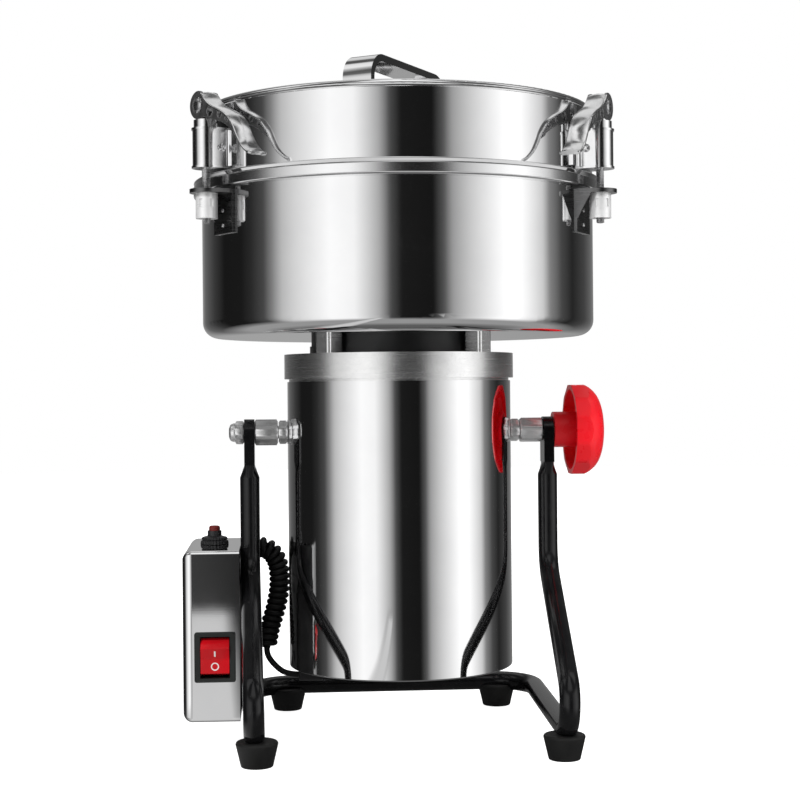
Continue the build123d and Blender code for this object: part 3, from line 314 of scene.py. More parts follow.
# glossy red knob: soft body colour, slight sink marks and a grain that wear has smoothed
KNOB_RED = grained("knob_red", (38, 4), ((0.3, (0.88, 0.006, 0.014)), (0.75, (0.97, 0.012, 0.024))),
                   (120, 5), (0.24, 0.38), ((70, 1), 0.25, 0.3), ((2100,), 0.10, 0.03),
                   Subsurface_Weight=0.25, Subsurface_Scale=0.012, Specular_IOR_Level=0.36)
STRAP = pressed_steel("pressed_steel", (0.78, 0.78, 0.785), 0.92, (0.12, 0.24), 0.35)
# the cheeks get the straps' pressed steel painted darker: painted shade on the levers' side faces
CHEEK_PAINTED_SHADE = pressed_steel("cheek_steel_painted_shade", (0.30, 0.30, 0.305), 0.42, (0.38, 0.52), 0.5)
CHROME = pressed_steel("clamp_chrome", (0.84, 0.84, 0.845), 0.93, (0.11, 0.17), 0.02)
WHITE_ZINC, PIVOT_ZINC = satin_zinc("white_zinc", 0.35), satin_zinc("pivot_zinc", 0.92)
MACHINED = machined_steel("machined_steel", (0.45, 0.45, 0.46), 0.62, (0.24, 0.40))
BRACKET = machined_steel("bracket_steel", (0.13, 0.13, 0.132), 0.20, (0.24, 0.36))
ROD_STEEL = machined_steel("rod_steel", (0.50, 0.50, 0.51), 0.66, (0.22, 0.36))
BLADE = machined_steel("blade_steel", (0.52, 0.52, 0.53), 0.70, (0.18, 0.34))
BLACK_PLASTIC = moulded_plastic("black_plastic", (0.010, 0.010, 0.011), (0.022, 0.022, 0.023),
                                (0.32, 0.46))
SWITCH_PLASTIC = moulded_plastic("switch_plastic", (0.009, 0.011, 0.010), (0.017, 0.019, 0.018),
                                 (0.38, 0.52))
GREY_PLASTIC = moulded_plastic("grey_plastic", (0.40, 0.40, 0.39), (0.56, 0.56, 0.55), (0.38, 0.50))
SWITCH_RED = moulded_plastic("switch_red", (0.50, 0.004, 0.009), (0.64, 0.008, 0.014), (0.20, 0.30),
                             grain=900, depth=0.03, Specular_IOR_Level=0.25)
BUTTON_RED = moulded_plastic("button_red", (0.10, 0.008, 0.006), (0.17, 0.014, 0.010), (0.35, 0.5))

# the record's slot of each CAD node, and the finish it gets here
SLOT_FINISH = {
    "polished_steel": STEEL, "zinc_steel": ZINC, "cast_aluminium": ALUMINIUM,
    "black_gloss_paint": BLACK, "black_steel": SATIN, "rubber": RUBBER, "silicone": SILICONE,
    "black_plastic": BLACK_PLASTIC, "red_plastic": KNOB_RED, "switch_plastic": SWITCH_PLASTIC,
    "lead_jacket": LEAD, "grey_plastic": GREY_PLASTIC, "brass": BRASS, "steel": MACHINED,
    "laminations": LAMINATIONS, "copper_winding": COPPER, "carbon": GRAPHITE, "blade_steel": BLADE,
}
NODE_FINISH = {"breaker_button": BUTTON_RED, "rocker": SWITCH_RED, "clamp_housings": CHROME,
               "clamp_caps": CHROME, "clamp_brackets": BRACKET, "thimble_nuts": WHITE_ZINC,
               "lead_gland_motor": BLACK_PLASTIC}
for row in frame["record"]["subparts"]:
    finish = NODE_FINISH.get(row["node"], SLOT_FINISH[row["material_slot"]])
    mesh = nodes[row["node"]].data
    mesh.materials.clear()
    mesh.materials.append(finish)


# ---- mesh helpers ---------------------------------------------------------------------------
def linked(name, data):
    """An object in the scene with this data."""
    thing = bpy.data.objects.new(name, data)
    scene.collection.objects.link(thing)
    return thing


def placed(name, mesh, finish):
    """An object in the scene with this mesh, which takes its name, and this finish."""
    mesh.name = name
    mesh.materials.clear()
    mesh.materials.append(finish)
    return linked(name, mesh)


def piece_from(name, mesh, finish, body, slot, *replaced):
    """Puts a mesh in the scene, on its body, in place of the CAD nodes that it stands for."""
    piece = placed(name, mesh, finish)
    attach(piece, body)
    if replaced:
        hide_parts(*replaced)


def smoothed(mesh, sharp=None):
    """The mesh shaded smooth, except over edges that turn more than sharp degrees, where given."""
    mesh.polygons.foreach_set("use_smooth", [True] * len(mesh.polygons))
    if sharp:
        mesh.set_sharp_from_angle(angle=math.radians(sharp))
    return mesh


def skin(rings, loop, close, capped=False):
    """Vertices and faces between rings of points. loop joins the last ring to the first, close
    joins each ring's last point to its first, and capped fills the first and the last ring."""
    size, count = len(rings[0]), len(rings)
    faces = []
    for i in range(count if loop else count - 1):
        here, there = i * size, (i + 1) % count * size
        for k in range(size if close else size - 1):
            n = (k + 1) % size
            faces.append((here + k, there + k, there + n, here + n))
    if capped:
        faces += [tuple(range(size)), tuple(range((count - 1) * size, count * size))]
    return [point for ring in rings for point in ring], faces


def mesh_from(vertices, faces, sharp=35.0):
    """A mesh without double points, with its normals outward."""
    mesh = bpy.data.meshes.new("mesh")
    mesh.from_pydata([tuple(v) for v in vertices], [], faces)
    mesh.validate()
    work = bmesh.new()
    work.from_mesh(mesh)
    bmesh.ops.remove_doubles(work, verts=work.verts, dist=1e-7)
    bmesh.ops.recalc_face_normals(work, faces=work.faces)
    work.to_mesh(mesh)
    work.free()
    return smoothed(mesh, sharp)


def mesh_of(data):
    """The mesh that a curve makes."""
    holder = bpy.data.objects.new("holder", data)
    mesh = bpy.data.meshes.new_from_object(holder)
    bpy.data.objects.remove(holder)
    return mesh


def merged(*meshes):
    """One mesh from several, which are used up."""
    work = bmesh.new()
    for mesh in meshes:
        work.from_mesh(mesh)
        bpy.data.meshes.remove(mesh)
    result = bpy.data.meshes.new("merged")
    work.to_mesh(result)
    work.free()
    return smoothed(result, 35)


def rounded(points, steps=7):
    """Closed outline of (x, y[, corner radius]) points, with its corners turned into arcs."""
    outline = []
    for i, point in enumerate(points):
        corner = Vector(point[:2])
        radius = point[2] if len(point) == 3 else 0.0
        if not radius:
            outline.append(corner)
            continue
        to_last = (Vector(points[i - 1][:2]) - corner).normalized()
        to_next = (Vector(points[(i + 1) % len(points)][:2]) - corner).normalized()
        half = to_last.angle(to_next) / 2
        centre = corner + (to_last + to_next).normalized() * (radius / math.sin(half))
        first = corner + to_last * (radius / math.tan(half)) - centre
        last = corner + to_next * (radius / math.tan(half)) - centre
        turn = first.angle_signed(last)
        for k in range(steps + 1):
            outline.append(centre + Matrix.Rotation(-turn * k / steps, 2) @ first)
    return outline


def through(points, steps):
    """Catmull-Rom curve through an open row of points."""
    points = [Vector(point) for point in points]
    row = [2 * points[0] - points[1], *points, 2 * points[-1] - points[-2]]
    curve = []
    for a, b, c, d in zip(row, row[1:], row[2:], row[3:]):
        for k in range(steps):
            t = k / steps
            curve.append(0.5 * (2 * b + (c - a) * t + (2 * a - 5 * b + 4 * c - d) * t * t
                                + (3 * b - a - 3 * c + d) * t ** 3))
    return curve + [points[-1]]


def arc(radius, start, end, steps, centre=(0, 0)):
    """Points on a circle from start to end, in degrees."""
    angles = [math.radians(start + (end - start) * k / steps) for k in range(steps + 1)]
    return [Vector((centre[0] + radius * math.cos(a), centre[1] + radius * math.sin(a)))
            for a in angles]


def circle(radius, centre=(0, 0), points=36):
    """Points all round a circle, the first of them only once."""
    return arc(radius, 0, 360 * (points - 1) / points, points - 1, centre)


def local_frame(origin, x_axis, y_axis):
    """Frame at the origin with these x and y axes, and z square to both."""
    x_axis, y_axis = Vector(x_axis).normalized(), Vector(y_axis).normalized()
    columns = Matrix((x_axis, y_axis, x_axis.cross(y_axis))).transposed()
    return Matrix.Translation(origin) @ columns.to_4x4()


def frame_round(azimuth, radius, z, heading=None):
    """Frame at that place round the motor axis, with x outward and z up. Where a heading in degrees
    is given, x points that way and y is up."""
    turn = math.radians(azimuth)
    outward = Vector((math.cos(turn), math.sin(turn), 0))
    origin = at(radius * outward.x, radius * outward.y, z)
    if heading is None:
        return local_frame(origin, outward, Vector((0, 0, 1)).cross(outward))
    turn = math.radians(heading)
    return local_frame(origin, (math.cos(turn), math.sin(turn), 0), (0, 0, 1))


def raised(place, height):
    """The place moved that many millimetres along its z axis."""
    return place @ Matrix.Translation((0, 0, height * MM))


def plate(outline, holes, thickness, edge, place):
    """A flat plate in the xy plane of its place, in mm, with holes (x, y, r) and softened edges."""
    flat = bpy.data.curves.new("plate", "CURVE")
    flat.dimensions, flat.fill_mode = "2D", "BOTH"
    for loop in [outline] + [circle(r, (x, y), 32) for x, y, r in holes]:
        spline = flat.splines.new("POLY")
        spline.points.add(len(loop) - 1)
        for point, corner in zip(spline.points, loop):
            point.co = (corner[0] * MM, corner[1] * MM, 0, 1)
        spline.use_cyclic_u = True
    flat.bevel_depth, flat.bevel_resolution = edge * MM, 2
    flat.offset, flat.extrude = -edge * MM, (thickness / 2 - edge) * MM
    mesh = mesh_of(flat)
    bpy.data.curves.remove(flat)
    mesh.transform(place)
    return mesh


def lathe(points, segments=240):
    """A closed (radius, height) outline in millimetres, turned about the motor axis."""
    rings = []
    for s in range(segments):
        angle = ALL_ROUND * s / segments
        rings.append([at(radius * math.cos(angle), radius * math.sin(angle), height)
                      for radius, height in points])
    return mesh_from(*skin(rings, loop=True, close=True))


def turned(outline, place, segments=48, sides=None):
    """An open (radius, height[, rounding]) outline in mm, turned about the z axis of its place.
    sides gives (count, half width across flats, turn), to cut the radius to a polygon."""
    outline = rounded([(0, outline[0][1]), *outline, (0, outline[-1][1])], 5)
    rings = []
    for s in range(segments):
        angle = ALL_ROUND * s / segments
        limit = math.inf
        if sides:
            step = ALL_ROUND / sides[0]
            off = (angle - math.radians(sides[2]) + step / 2) % step - step / 2
            limit = sides[1] / math.cos(off)
        ring = []
        for radius, height in outline:
            r = min(radius, limit) * MM
            ring.append(place @ Vector((r * math.cos(angle), r * math.sin(angle), height * MM)))
        rings.append(ring)
    return mesh_from(*skin(rings, loop=True, close=False), 30)


# ---- motor lead: a curly cord from the control box to the motor's base ------------------------
COIL_ROUTE = [(-98.9, 22, 116), (-90.0, 22, 121.5), (-79.2, 22, 113.0), (-77.2, 21.5, 96.5),
              (-80.0, 19.5, 80), (-85, 16.7, 66), (-86.6, 15.6, 54.5)]
TAIL_ROUTE = [(-85.8, 15.0, 48.5), (-80.0, 14.5, 41.5), (-73.5, 14, 37.2), (-66, 14, 36.8)]
WIRE_R, HELIX_R, HELIX_PITCH, TURN_POINTS = 1.9, 5.1, 4.0, 12
HELIX_START, HELIX_RAMP = 3.0, 4.0     # mm along the route before the first turn, and its widening


def nurbs_curve(name, points):
    """A 3-D curve of one smooth spline with these control points, in metres."""
    data = bpy.data.curves.new(name, "CURVE")
    data.dimensions = "3D"
    spline = data.splines.new("NURBS")
    spline.points.add(len(points) - 1)
    for control, point in zip(spline.points, points):
        control.co = (*point, 1)
    spline.order_u, spline.use_endpoint_u, spline.resolution_u = 3, True, 12
    return data


def points_of(data):
    """The points of a curve that has no bevel."""
    mesh = mesh_of(data)
    line = [vertex.co.copy() for vertex in mesh.vertices]
    bpy.data.meshes.remove(mesh)
    return line


def helix_round(line):
    """Control points of a helix that follows the line, with straight ends."""
    along = [0.0]
    for a, b in zip(line, line[1:]):
        along.append(along[-1] + (b - a).length)
    total, first, ramp = along[-1], HELIX_START * MM, HELIX_RAMP * MM
    steps = round((total - first) / (HELIX_PITCH * MM)) * TURN_POINTS
    leave = (line[1] - line[0]).normalized() * first
    side, helix, here = Vector((0, 0, 1)), [line[0], line[0] + leave / 2], 0
    for k in range(steps + 1):
        distance = first + (total - first) * k / steps
        while here < len(along) - 2 and along[here + 1] < distance:
            here += 1
        run = line[here + 1] - line[here]
        centre = line[here] + run * ((distance - along[here]) / run.length)
        ahead = run.normalized()
        side = (side - ahead * side.dot(ahead)).normalized()
        wide = min(1.0, (distance - first) / ramp, (total - distance) / ramp)
        radius = HELIX_R * MM * math.sin(max(wide, 0) * math.pi / 2)
        turn = ALL_ROUND * k / TURN_POINTS
        helix.append(centre + radius * (math.cos(turn) * side + math.sin(turn) * ahead.cross(side)))
    return helix


def motor_lead():
    """The lead as one cord mesh, which runs from the stand to the motor unit."""
    route = nurbs_curve("route", [at(*point) for point in COIL_ROUTE])
    coil = helix_round(points_of(route))
    cord = nurbs_curve("motor_lead", coil + [at(*point) for point in TAIL_ROUTE])
    path = points_of(cord)
    cord.bevel_depth, cord.bevel_resolution, cord.use_fill_caps = WIRE_R * MM, 4, True
    lead = placed("motor_lead", smoothed(mesh_of(cord)), LEAD)
    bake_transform(lead)
    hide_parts("motor_lead_coil", "motor_lead_tail")


motor_lead()

# ---- clamps ---------------------------------------------------------------------------------
# each clamp's azimuth round the motor axis and its lever's heading, in degrees
CLAMPS = {"left": (210.0, 306.0), "right": (330.0, 240.0), "rear": (90.0, 186.0)}
CLAMP_R, PIN_Z = 137.3, 391.9
# side view of a lever from its pin: (along, up), and the cheeks' side holes with their radii
STRAP_SPINE = [(3.2, 7.9), (4.9, 7.1), (8.9, 2.9), (14.9, -1.2), (23.9, -5.0), (31.2, -9.2),
               (37.0, -15.4), (40.6, -21.2), (45.0, -27.2), (50.2, -31.4), (54.3, -33.1)]
CHEEK_UNDER = [(7.6, -7.8), (9.8, -8.6), (14.8, -10.4), (20.8, -11.9), (26.7, -14.0), (32.6, -17.3),
               (38.5, -20.3)]
CHEEK_HOLES = [(13.0, -5.6, 2.7), (23.3, -8.6, 1.9), (30.4, -12.2, 1.4)]
STRAP_HALF, STRAP_T, STRAP_CROWN = 6.4, 1.5, 0.75
LIP_THICKER, LIP_FLATTER = 0.9, 0.45             # the strap's lip at the tip, against the rest
TIP_NARROWER, ROOT_NARROWER = 0.16, 0.30         # the share of the width that each end loses
LIP_ROWS, TIP_ROWS, ROOT_ROWS = 7, 2.5, 3        # over how many of the spine's points these reach
HEAD_R, HEAD_FROM, HEAD_TO, PIN_HOLE_R = 8.4, 62, 285, 4.9    # the cheeks' round head, in degrees
CHEEK_OUT, CHEEK_T, CHEEK_EDGE = 6.0, 1.5, 0.3
CHEEK_TUCK, TUCKED_TIP = Vector((0.5, 0.8)), 4   # the cheeks' top and last tip points sit lower
RIM_WIDTH, RIM_GAP, RIM_T, RIM_EDGE = 0.65, 0.05, 0.6, 0.25   # raised edge of the side holes


def strap_mesh(place):
    """The crowned strap of a lever, swept along its spine, with a thicker lip at the tip."""
    spine = through(STRAP_SPINE, 8)
    last = len(spine) - 1
    rings = []
    for i, point in enumerate(spine):
        ahead = (spine[min(i + 1, last)] - spine[max(i - 1, 0)]).normalized()
        up = Vector((-ahead.y, ahead.x))
        lip = max(0.0, 1 - (last - i) / LIP_ROWS)
        tip, root = max(0.0, 1 - (last - i) / TIP_ROWS), max(0.0, 1 - i / ROOT_ROWS)
        half = STRAP_HALF * (1 - TIP_NARROWER * tip ** 2 - ROOT_NARROWER * root ** 2)
        thick = (STRAP_T + LIP_THICKER * lip) / 2
        crown = STRAP_CROWN - LIP_FLATTER * lip
        edge = arc(thick, 60, -60, 4, (half - thick, -crown))
        shares = [1 - k / 5 for k in range(11)]
        top = [(w * (half - thick), thick - crown * w * w) for w in shares]
        bottom = [(-w * (half - thick), -thick - crown * w * w) for w in shares]
        ring = []
        for across, rise in top + [(-x, y) for x, y in edge] + bottom + edge[::-1]:
            spot = point + up * (rise - thick)
            ring.append(place @ Vector((spot.x * MM, spot.y * MM, across * MM)))
        rings.append(ring)
    return mesh_from(*skin(rings, loop=False, close=True, capped=True), 40)


def add_clamp_lever(name, azimuth, heading):
    """A lever: its strap, its two cheeks with their holes, and the holes' raised rims."""
    place = frame_round(azimuth, CLAMP_R, PIN_Z, heading)
    body = f"clamp_lever_{name}"
    piece_from(f"lever_{name}", strap_mesh(place), STRAP, body, "zinc_steel", body)
    outline = arc(HEAD_R, HEAD_FROM, HEAD_TO, 40) + through(CHEEK_UNDER, 4)
    tucked = outline[-TUCKED_TIP:] + through(STRAP_SPINE[7:0:-1], 4)[2:-1]
    outline = outline[:-TUCKED_TIP] + [point - CHEEK_TUCK for point in tucked]
    cheeks, rims = [], []
    for side in (-1, 1):
        cheeks.append(plate(outline, [(0, 0, PIN_HOLE_R), *CHEEK_HOLES], CHEEK_T, CHEEK_EDGE,
                            raised(place, side * (CHEEK_OUT - CHEEK_T / 2))))
        for x, y, r in CHEEK_HOLES:
            rims.append(plate(circle(r + RIM_WIDTH, (x, y)), [(x, y, r + RIM_GAP)], RIM_T, RIM_EDGE,
                              raised(place, side * CHEEK_OUT)))
    # the cheeks and the hole rims take the darker, painted-shade copy of the strap's steel
    piece_from(f"lever_cheeks_{name}", merged(*cheeks), CHEEK_PAINTED_SHADE, body, "zinc_steel")
    piece_from(f"lever_rims_{name}", merged(*rims), CHEEK_PAINTED_SHADE, body, "zinc_steel")


THREAD_R, THREAD_DEEP, THREAD_PITCH, THREAD_SEGMENTS, THREAD_ROWS = 2.5, 0.32, 0.8, 20, 4
ROD_BOTTOM, THREAD_TOP, SHANK_TOP, POINTED = 321.5, 354.0, PIN_Z - 3, 0.55
ROD_EYE = [(5.4, -4.1, 0.6), (5.4, 4.1, 0.6)]
CROSS_PIN, PIN_DOME = [(4.2, -6.2), (4.2, 6.2)], [(1.4, 7.3), (3.0, 7.0), (4.0, 6.4), (4.3, 5.9)]


def threaded_end(place):
    """The rod's threaded end: rows of a ridge that climbs one pitch a turn, from a pointed start."""
    rows = int((THREAD_TOP - ROD_BOTTOM) / THREAD_PITCH * THREAD_ROWS)
    rings = []
    for row in range(rows + 1):
        height = ROD_BOTTOM + (THREAD_TOP - ROD_BOTTOM) * row / rows
        taper = min(1.0, row / THREAD_ROWS + POINTED)
        ring = []
        for s in range(THREAD_SEGMENTS):
            turn = ALL_ROUND * s / THREAD_SEGMENTS
            phase = (height / THREAD_PITCH - s / THREAD_SEGMENTS) % 1.0
            radius = (THREAD_R - THREAD_DEEP * abs(2 * phase - 1)) * taper * MM
            ring.append(place @ Vector((radius * math.cos(turn), radius * math.sin(turn), height * MM)))
        rings.append(ring)
    return mesh_from(*skin(rings, loop=False, close=True, capped=True), 80)


def add_clamp_rod(name, azimuth, heading):
    """Threaded rod, its eye between the cheeks, and the pin with its domed ends."""
    foot = frame_round(azimuth, CLAMP_R, 0)
    pin = frame_round(azimuth, CLAMP_R, PIN_Z, heading)
    shank = turned([(THREAD_R, THREAD_TOP), (THREAD_R, SHANK_TOP)], foot, 24)
    domes = [turned(PIN_DOME, pin @ Matrix.Diagonal((1, 1, side, 1))) for side in (-1, 1)]
    rod = merged(threaded_end(foot), shank, turned(ROD_EYE, pin), turned(CROSS_PIN, pin), *domes)
    piece_from(f"rod_{name}", rod, ROD_STEEL, "lid", "zinc_steel", f"clamp_rod_{name}")


for clamp, (azimuth, heading) in CLAMPS.items():
    add_clamp_lever(clamp, azimuth, heading)
    add_clamp_rod(clamp, azimuth, heading)

SCREW_R, SCREW_H, CROSS_L, CROSS_W, CROSS_DEEP = 2.6, 1.4, 1.75, 0.42, 0.9
SCREW_HEAD = [(SCREW_R, 0), (SCREW_R, SCREW_H * 0.45, 0.3), (SCREW_R * 0.55, SCREW_H)]


def cross_screw(place):
    """Pan head with a cross recess. z of the place faces outward from the face it sits on."""
    holder = linked("head", turned(SCREW_HEAD, Matrix.Identity(4)))
    for length, width in ((CROSS_L, CROSS_W), (CROSS_W, CROSS_L)):
        corners = [(length, width), (-length, width), (-length, -width), (length, -width)]
        bar = plate(corners, [], 2 * CROSS_DEEP, 0.02, raised(Matrix.Identity(4), SCREW_H))
        cut = holder.modifiers.new("cut", "BOOLEAN")
        cut.operation, cut.object, cut.solver = "DIFFERENCE", linked("bar", bar), "EXACT"
    bpy.context.view_layer.update()
    graph = bpy.context.evaluated_depsgraph_get()
    result = bpy.data.meshes.new_from_object(holder.evaluated_get(graph))
    for leftover in [cut.object for cut in holder.modifiers] + [holder]:
        bpy.data.objects.remove(leftover)
    result.transform(place)
    return result


SCREW_Z, SCREW_ALONG, HOUSING_SIDE, SCREW_TURN = 366.6, 131.2, 8.2, 0.5
RIVET_ALONG, RIVET_HEIGHTS, RIVET = 126.5, (330.0, 321.0), [(1.3, 0), (1.15, 0.4, 0.2), (0.6, 0.75)]
screws, rivets = [], []
for azimuth, _ in CLAMPS.values():
    for heading in (azimuth + 180, azimuth):
        face = raised(frame_round(azimuth, SCREW_ALONG, SCREW_Z, heading), -HOUSING_SIDE)
        outward = Matrix.Rotation(math.pi, 4, "Y") @ Matrix.Rotation(SCREW_TURN, 4, "Z")
        screws.append(cross_screw(face @ outward))
    for height in RIVET_HEIGHTS:
        rivets.append(turned(RIVET, frame_round(azimuth, RIVET_ALONG, height, azimuth + 90), 20))
piece_from("clamp_screws_detail", merged(*screws), ZINC, "lid", "zinc_steel", "clamp_screws")
piece_from("bracket_rivets", merged(*rivets), ZINC, "motor_unit", "zinc_steel")

# ---- lid rim ----------------------------------------------------------------------------------
RIM_IN, RIM_LOW, RIM_WIDE, RIM_TALL = 121.5, 394.2, 3.75, 4.5
RIM_FOOT, RIM_LIP = (124.2, 393.4), (RIM_IN, 397.6)
rim = [(RIM_IN + p.x, RIM_LOW + p.y * RIM_TALL / RIM_WIDE) for p in arc(RIM_WIDE, 0, 90, 14)]
piece_from("lid_rim", lathe([RIM_FOOT, *rim, RIM_LIP]), STEEL, "lid", "polished_steel")

# ---- pivot hardware ---------------------------------------------------------------------------
PIVOT_Z, EYE_OUT = 194.7, 99.45
# where each hexagon begins, counted outward from the motor axis, its length and half its width
LOCK_NUT, SPACER, ACORN = (72.0, 5.5, 6.5), (78.0, 14.8, 7.2), (EYE_OUT + 0.15, 5.6, 6.5)
# how far each is turned on its stud, in degrees: the spacer on either side, the lock nut by a share
# of that, and the acorn nut
SPACER_TURN, NUT_SHARE, ACORN_TURN = {-1: 0.0, 1: 17.0}, 0.6, 8.0
HEX_CHAMFER, HEX_FACE, HEX_PROUD = 0.85, 0.95, 0.05
WASHER_IN, WASHER = 71.7, [(7.6, 0, 0.2), (7.6, 0.28, 0.1)]
ACORN_DOME = [(6.0, 5.0), (6.0, 6.6, 1.0), (5.2, 8.6, 1.6), (2.9, 9.6, 1.4)]


def pivot_place(side, inner):
    """Frame whose z runs outward along the pivots from that distance, with x up."""
    return local_frame(at(side * inner, 0, PIVOT_Z), (0, 0, 1), (0, -side, 0))


def hexagon(side, inner, length, flat, turn):
    """A hexagon bar on the pivots, with its corners turned down at both ends."""
    corner, face = flat / math.cos(math.pi / 6) + HEX_PROUD, flat * HEX_FACE
    outline = [(face, 0), (corner, HEX_CHAMFER), (corner, length - HEX_CHAMFER), (face, length)]
    return turned(outline, pivot_place(side, inner), 96, (6, flat, turn + 30))


hardware = []
for side, turn in SPACER_TURN.items():
    hardware.append(hexagon(side, *LOCK_NUT, turn * NUT_SHARE))
    hardware.append(hexagon(side, *SPACER, turn))
    hardware.append(turned(WASHER, pivot_place(side, WASHER_IN)))
piece_from("pivot_hexagons", merged(*hardware), PIVOT_ZINC, "motor_unit", "zinc_steel", "pivot_nuts")
acorn = merged(hexagon(-1, *ACORN, ACORN_TURN), turned(ACORN_DOME, pivot_place(-1, ACORN[0])))
piece_from("acorn_cap", acorn, PIVOT_ZINC, "motor_unit", "zinc_steel", "acorn_nut")

# ---- breaker ----------------------------------------------------------------------------------
BREAKER_SEAT = at(-119.6, 15.0, 122.2)
BREAKER_TIERS = [(9.2, 0.1, 0.3), (8.8, 2.3, 0.4), (7.4, 2.8, 0.3), (8.6, 3.3, 0.3), (8.0, 4.6, 0.5),
                 (4.5, 5.6), (4.5, 8.6, 0.4), (3.7, 8.4)]
BREAKER_RIBS, RIB_DEEP, RIBBED_FROM = 26, 0.22, 6.0


def breaker_cap():
    """The breaker's nut: two flared tiers with fine ribs."""
    cap = turned(BREAKER_TIERS, Matrix.Identity(4), BREAKER_RIBS * 8)
    for vertex in cap.vertices:
        if vertex.co.xy.length > RIBBED_FROM * MM:
            angle = math.atan2(vertex.co.y, vertex.co.x)
            depth = RIB_DEEP * MM * (1 - math.cos(BREAKER_RIBS * angle))
            vertex.co.xy -= vertex.co.xy.normalized() * depth
    cap.transform(Matrix.Translation(BREAKER_SEAT))
    piece_from("breaker_cap", cap, BLACK_PLASTIC, "stand", "black_plastic", "breaker_nut")


breaker_cap()

# ---- rocker switch ----------------------------------------------------------------------------
ROCKER_PIVOT, ROCKER_HALF, ROCKER_EDGE = at(-117.9, -27.0, 56.4), 8.9, 0.45
ROCKER_TILT = math.radians(8)
# side view: (outward, up, corner radius), the three on the face first, from the top down
ROCKER_OUTLINE = [(8.8, 7.4, 0.7), (7.4, 0, 4.0), (8.6, -8.8, 0.7), (1.0, -12.4, 0.5), (-2.6, 0, 0.5),
                  (1.0, 12.4, 0.5)]
BAR_HALF, BAR_TALL, BAR_CORNER, RING_OUT, RING_HOLE = 0.5, 1.9, 0.4, 2.5, 1.8
MARK_T, MARK_EDGE, MARK_PROUD = 0.16, 0.05, 0.02    # the last is how far its middle is off the face


def add_rocker():
    """The rocker's paddle, with a bar and a ring printed on its face."""
    side_view = (local_frame(ROCKER_PIVOT, (0, -1, 0), (0, 0, 1))
                 @ Matrix.Rotation(-ROCKER_TILT, 4, "Z"))
    paddle = plate(rounded(ROCKER_OUTLINE), [], 2 * ROCKER_HALF, ROCKER_EDGE, side_view)
    piece_from("rocker_paddle", smoothed(paddle, 30), SWITCH_RED, "rocker", "red_plastic", "rocker")
    upper, middle, lower = [Vector(point[:2]) for point in ROCKER_OUTLINE[:3]]
    bar = rounded([(x * BAR_HALF, y * BAR_TALL, BAR_CORNER)
                   for x, y in ((-1, -1), (1, -1), (1, 1), (-1, 1))])
    marks = []
    for low, high, outline, holes in ((middle, upper, bar, []),
                                      (lower, middle, circle(RING_OUT), [(0, 0, RING_HOLE)])):
        up = (high - low).normalized()
        spot = (low + high) / 2 + Vector((up.y, -up.x)) * MARK_PROUD
        face = local_frame(Vector((spot.x, spot.y, 0)) * MM, (0, 0, -1), (up.x, up.y, 0))
        marks.append(plate(outline, holes, MARK_T, MARK_EDGE, side_view @ face))
    piece_from("rocker_marks", merged(*marks), INK, "rocker", "red_plastic")


add_rocker()

# ---- camera ---------------------------------------------------------------------------------
CAMERA_DISTANCE = 1.048                # to the motor axis
CAMERA_HEIGHT = 0.2216                 # the eye line
CAMERA_YAW = math.radians(4.0)         # the camera stands this far round to the left
CAMERA_ROLL = -0.0086
CAMERA_SHIFT = 0.0015, -0.0134         # of the picture, as shares of its size
FOCAL_PIXELS, FRAME_PIXELS, SENSOR = 1625.0, 800.0, 36.0


def add_camera():
    """The camera of the photograph, as solved from its perspective."""
    data = bpy.data.cameras.new("camera")
    data.sensor_width = SENSOR
    data.lens = FOCAL_PIXELS / FRAME_PIXELS * SENSOR
    data.shift_x, data.shift_y = CAMERA_SHIFT
    data.clip_start, data.clip_end = 0.05, 50
    camera = linked("camera", data)
    place = Matrix.Translation((
        -CAMERA_DISTANCE * math.sin(CAMERA_YAW),
        MOTOR_Y - CAMERA_DISTANCE * math.cos(CAMERA_YAW),
        CAMERA_HEIGHT,
    ))
    aim = Matrix.Rotation(-CAMERA_YAW, 4, "Z") @ Matrix.Rotation(math.pi / 2, 4, "X")
    camera.matrix_world = place @ aim @ Matrix.Rotation(CAMERA_ROLL, 4, "Z")
    scene.camera = camera


# ---- studio ---------------------------------------------------------------------------------
class StageLook(Nodes):
    """A studio material, built from nothing, which Cycles doesn't sample as a lamp."""

    def __init__(self, name):
        self.material = bpy.data.materials.new(name)
        self.material.use_nodes = True
        self.material.cycles.emission_sampling = "NONE"
        super().__init__(self.material.node_tree)
        self.tree.nodes.clear()
        self.place = self.object_place()

    def surface_from(self, shader):
        self.link(shader.outputs[0], self.node("OutputMaterial").inputs["Surface"])


def band_round(first, second, segments):
    """Points and faces of a band round the z axis between two circles of (radius, height)."""
    rings = []
    for s in range(segments):
        angle = ALL_ROUND * s / segments
        rings.append([(radius * math.cos(angle), radius * math.sin(angle), height)
                      for radius, height in (first, second)])
    return skin(rings, loop=True, close=False)


def mirrored_only(name, points, faces, look, height):
    """A stage object round the motor axis that only reflections show."""
    mesh = bpy.data.meshes.new(name)
    mesh.from_pydata(points, [], faces)
    thing = placed(name, mesh, look.material)
    thing.location = (0, MOTOR_Y, height)
    thing.visible_camera = thing.visible_diffuse = thing.visible_shadow = False
    thing.visible_transmission = False


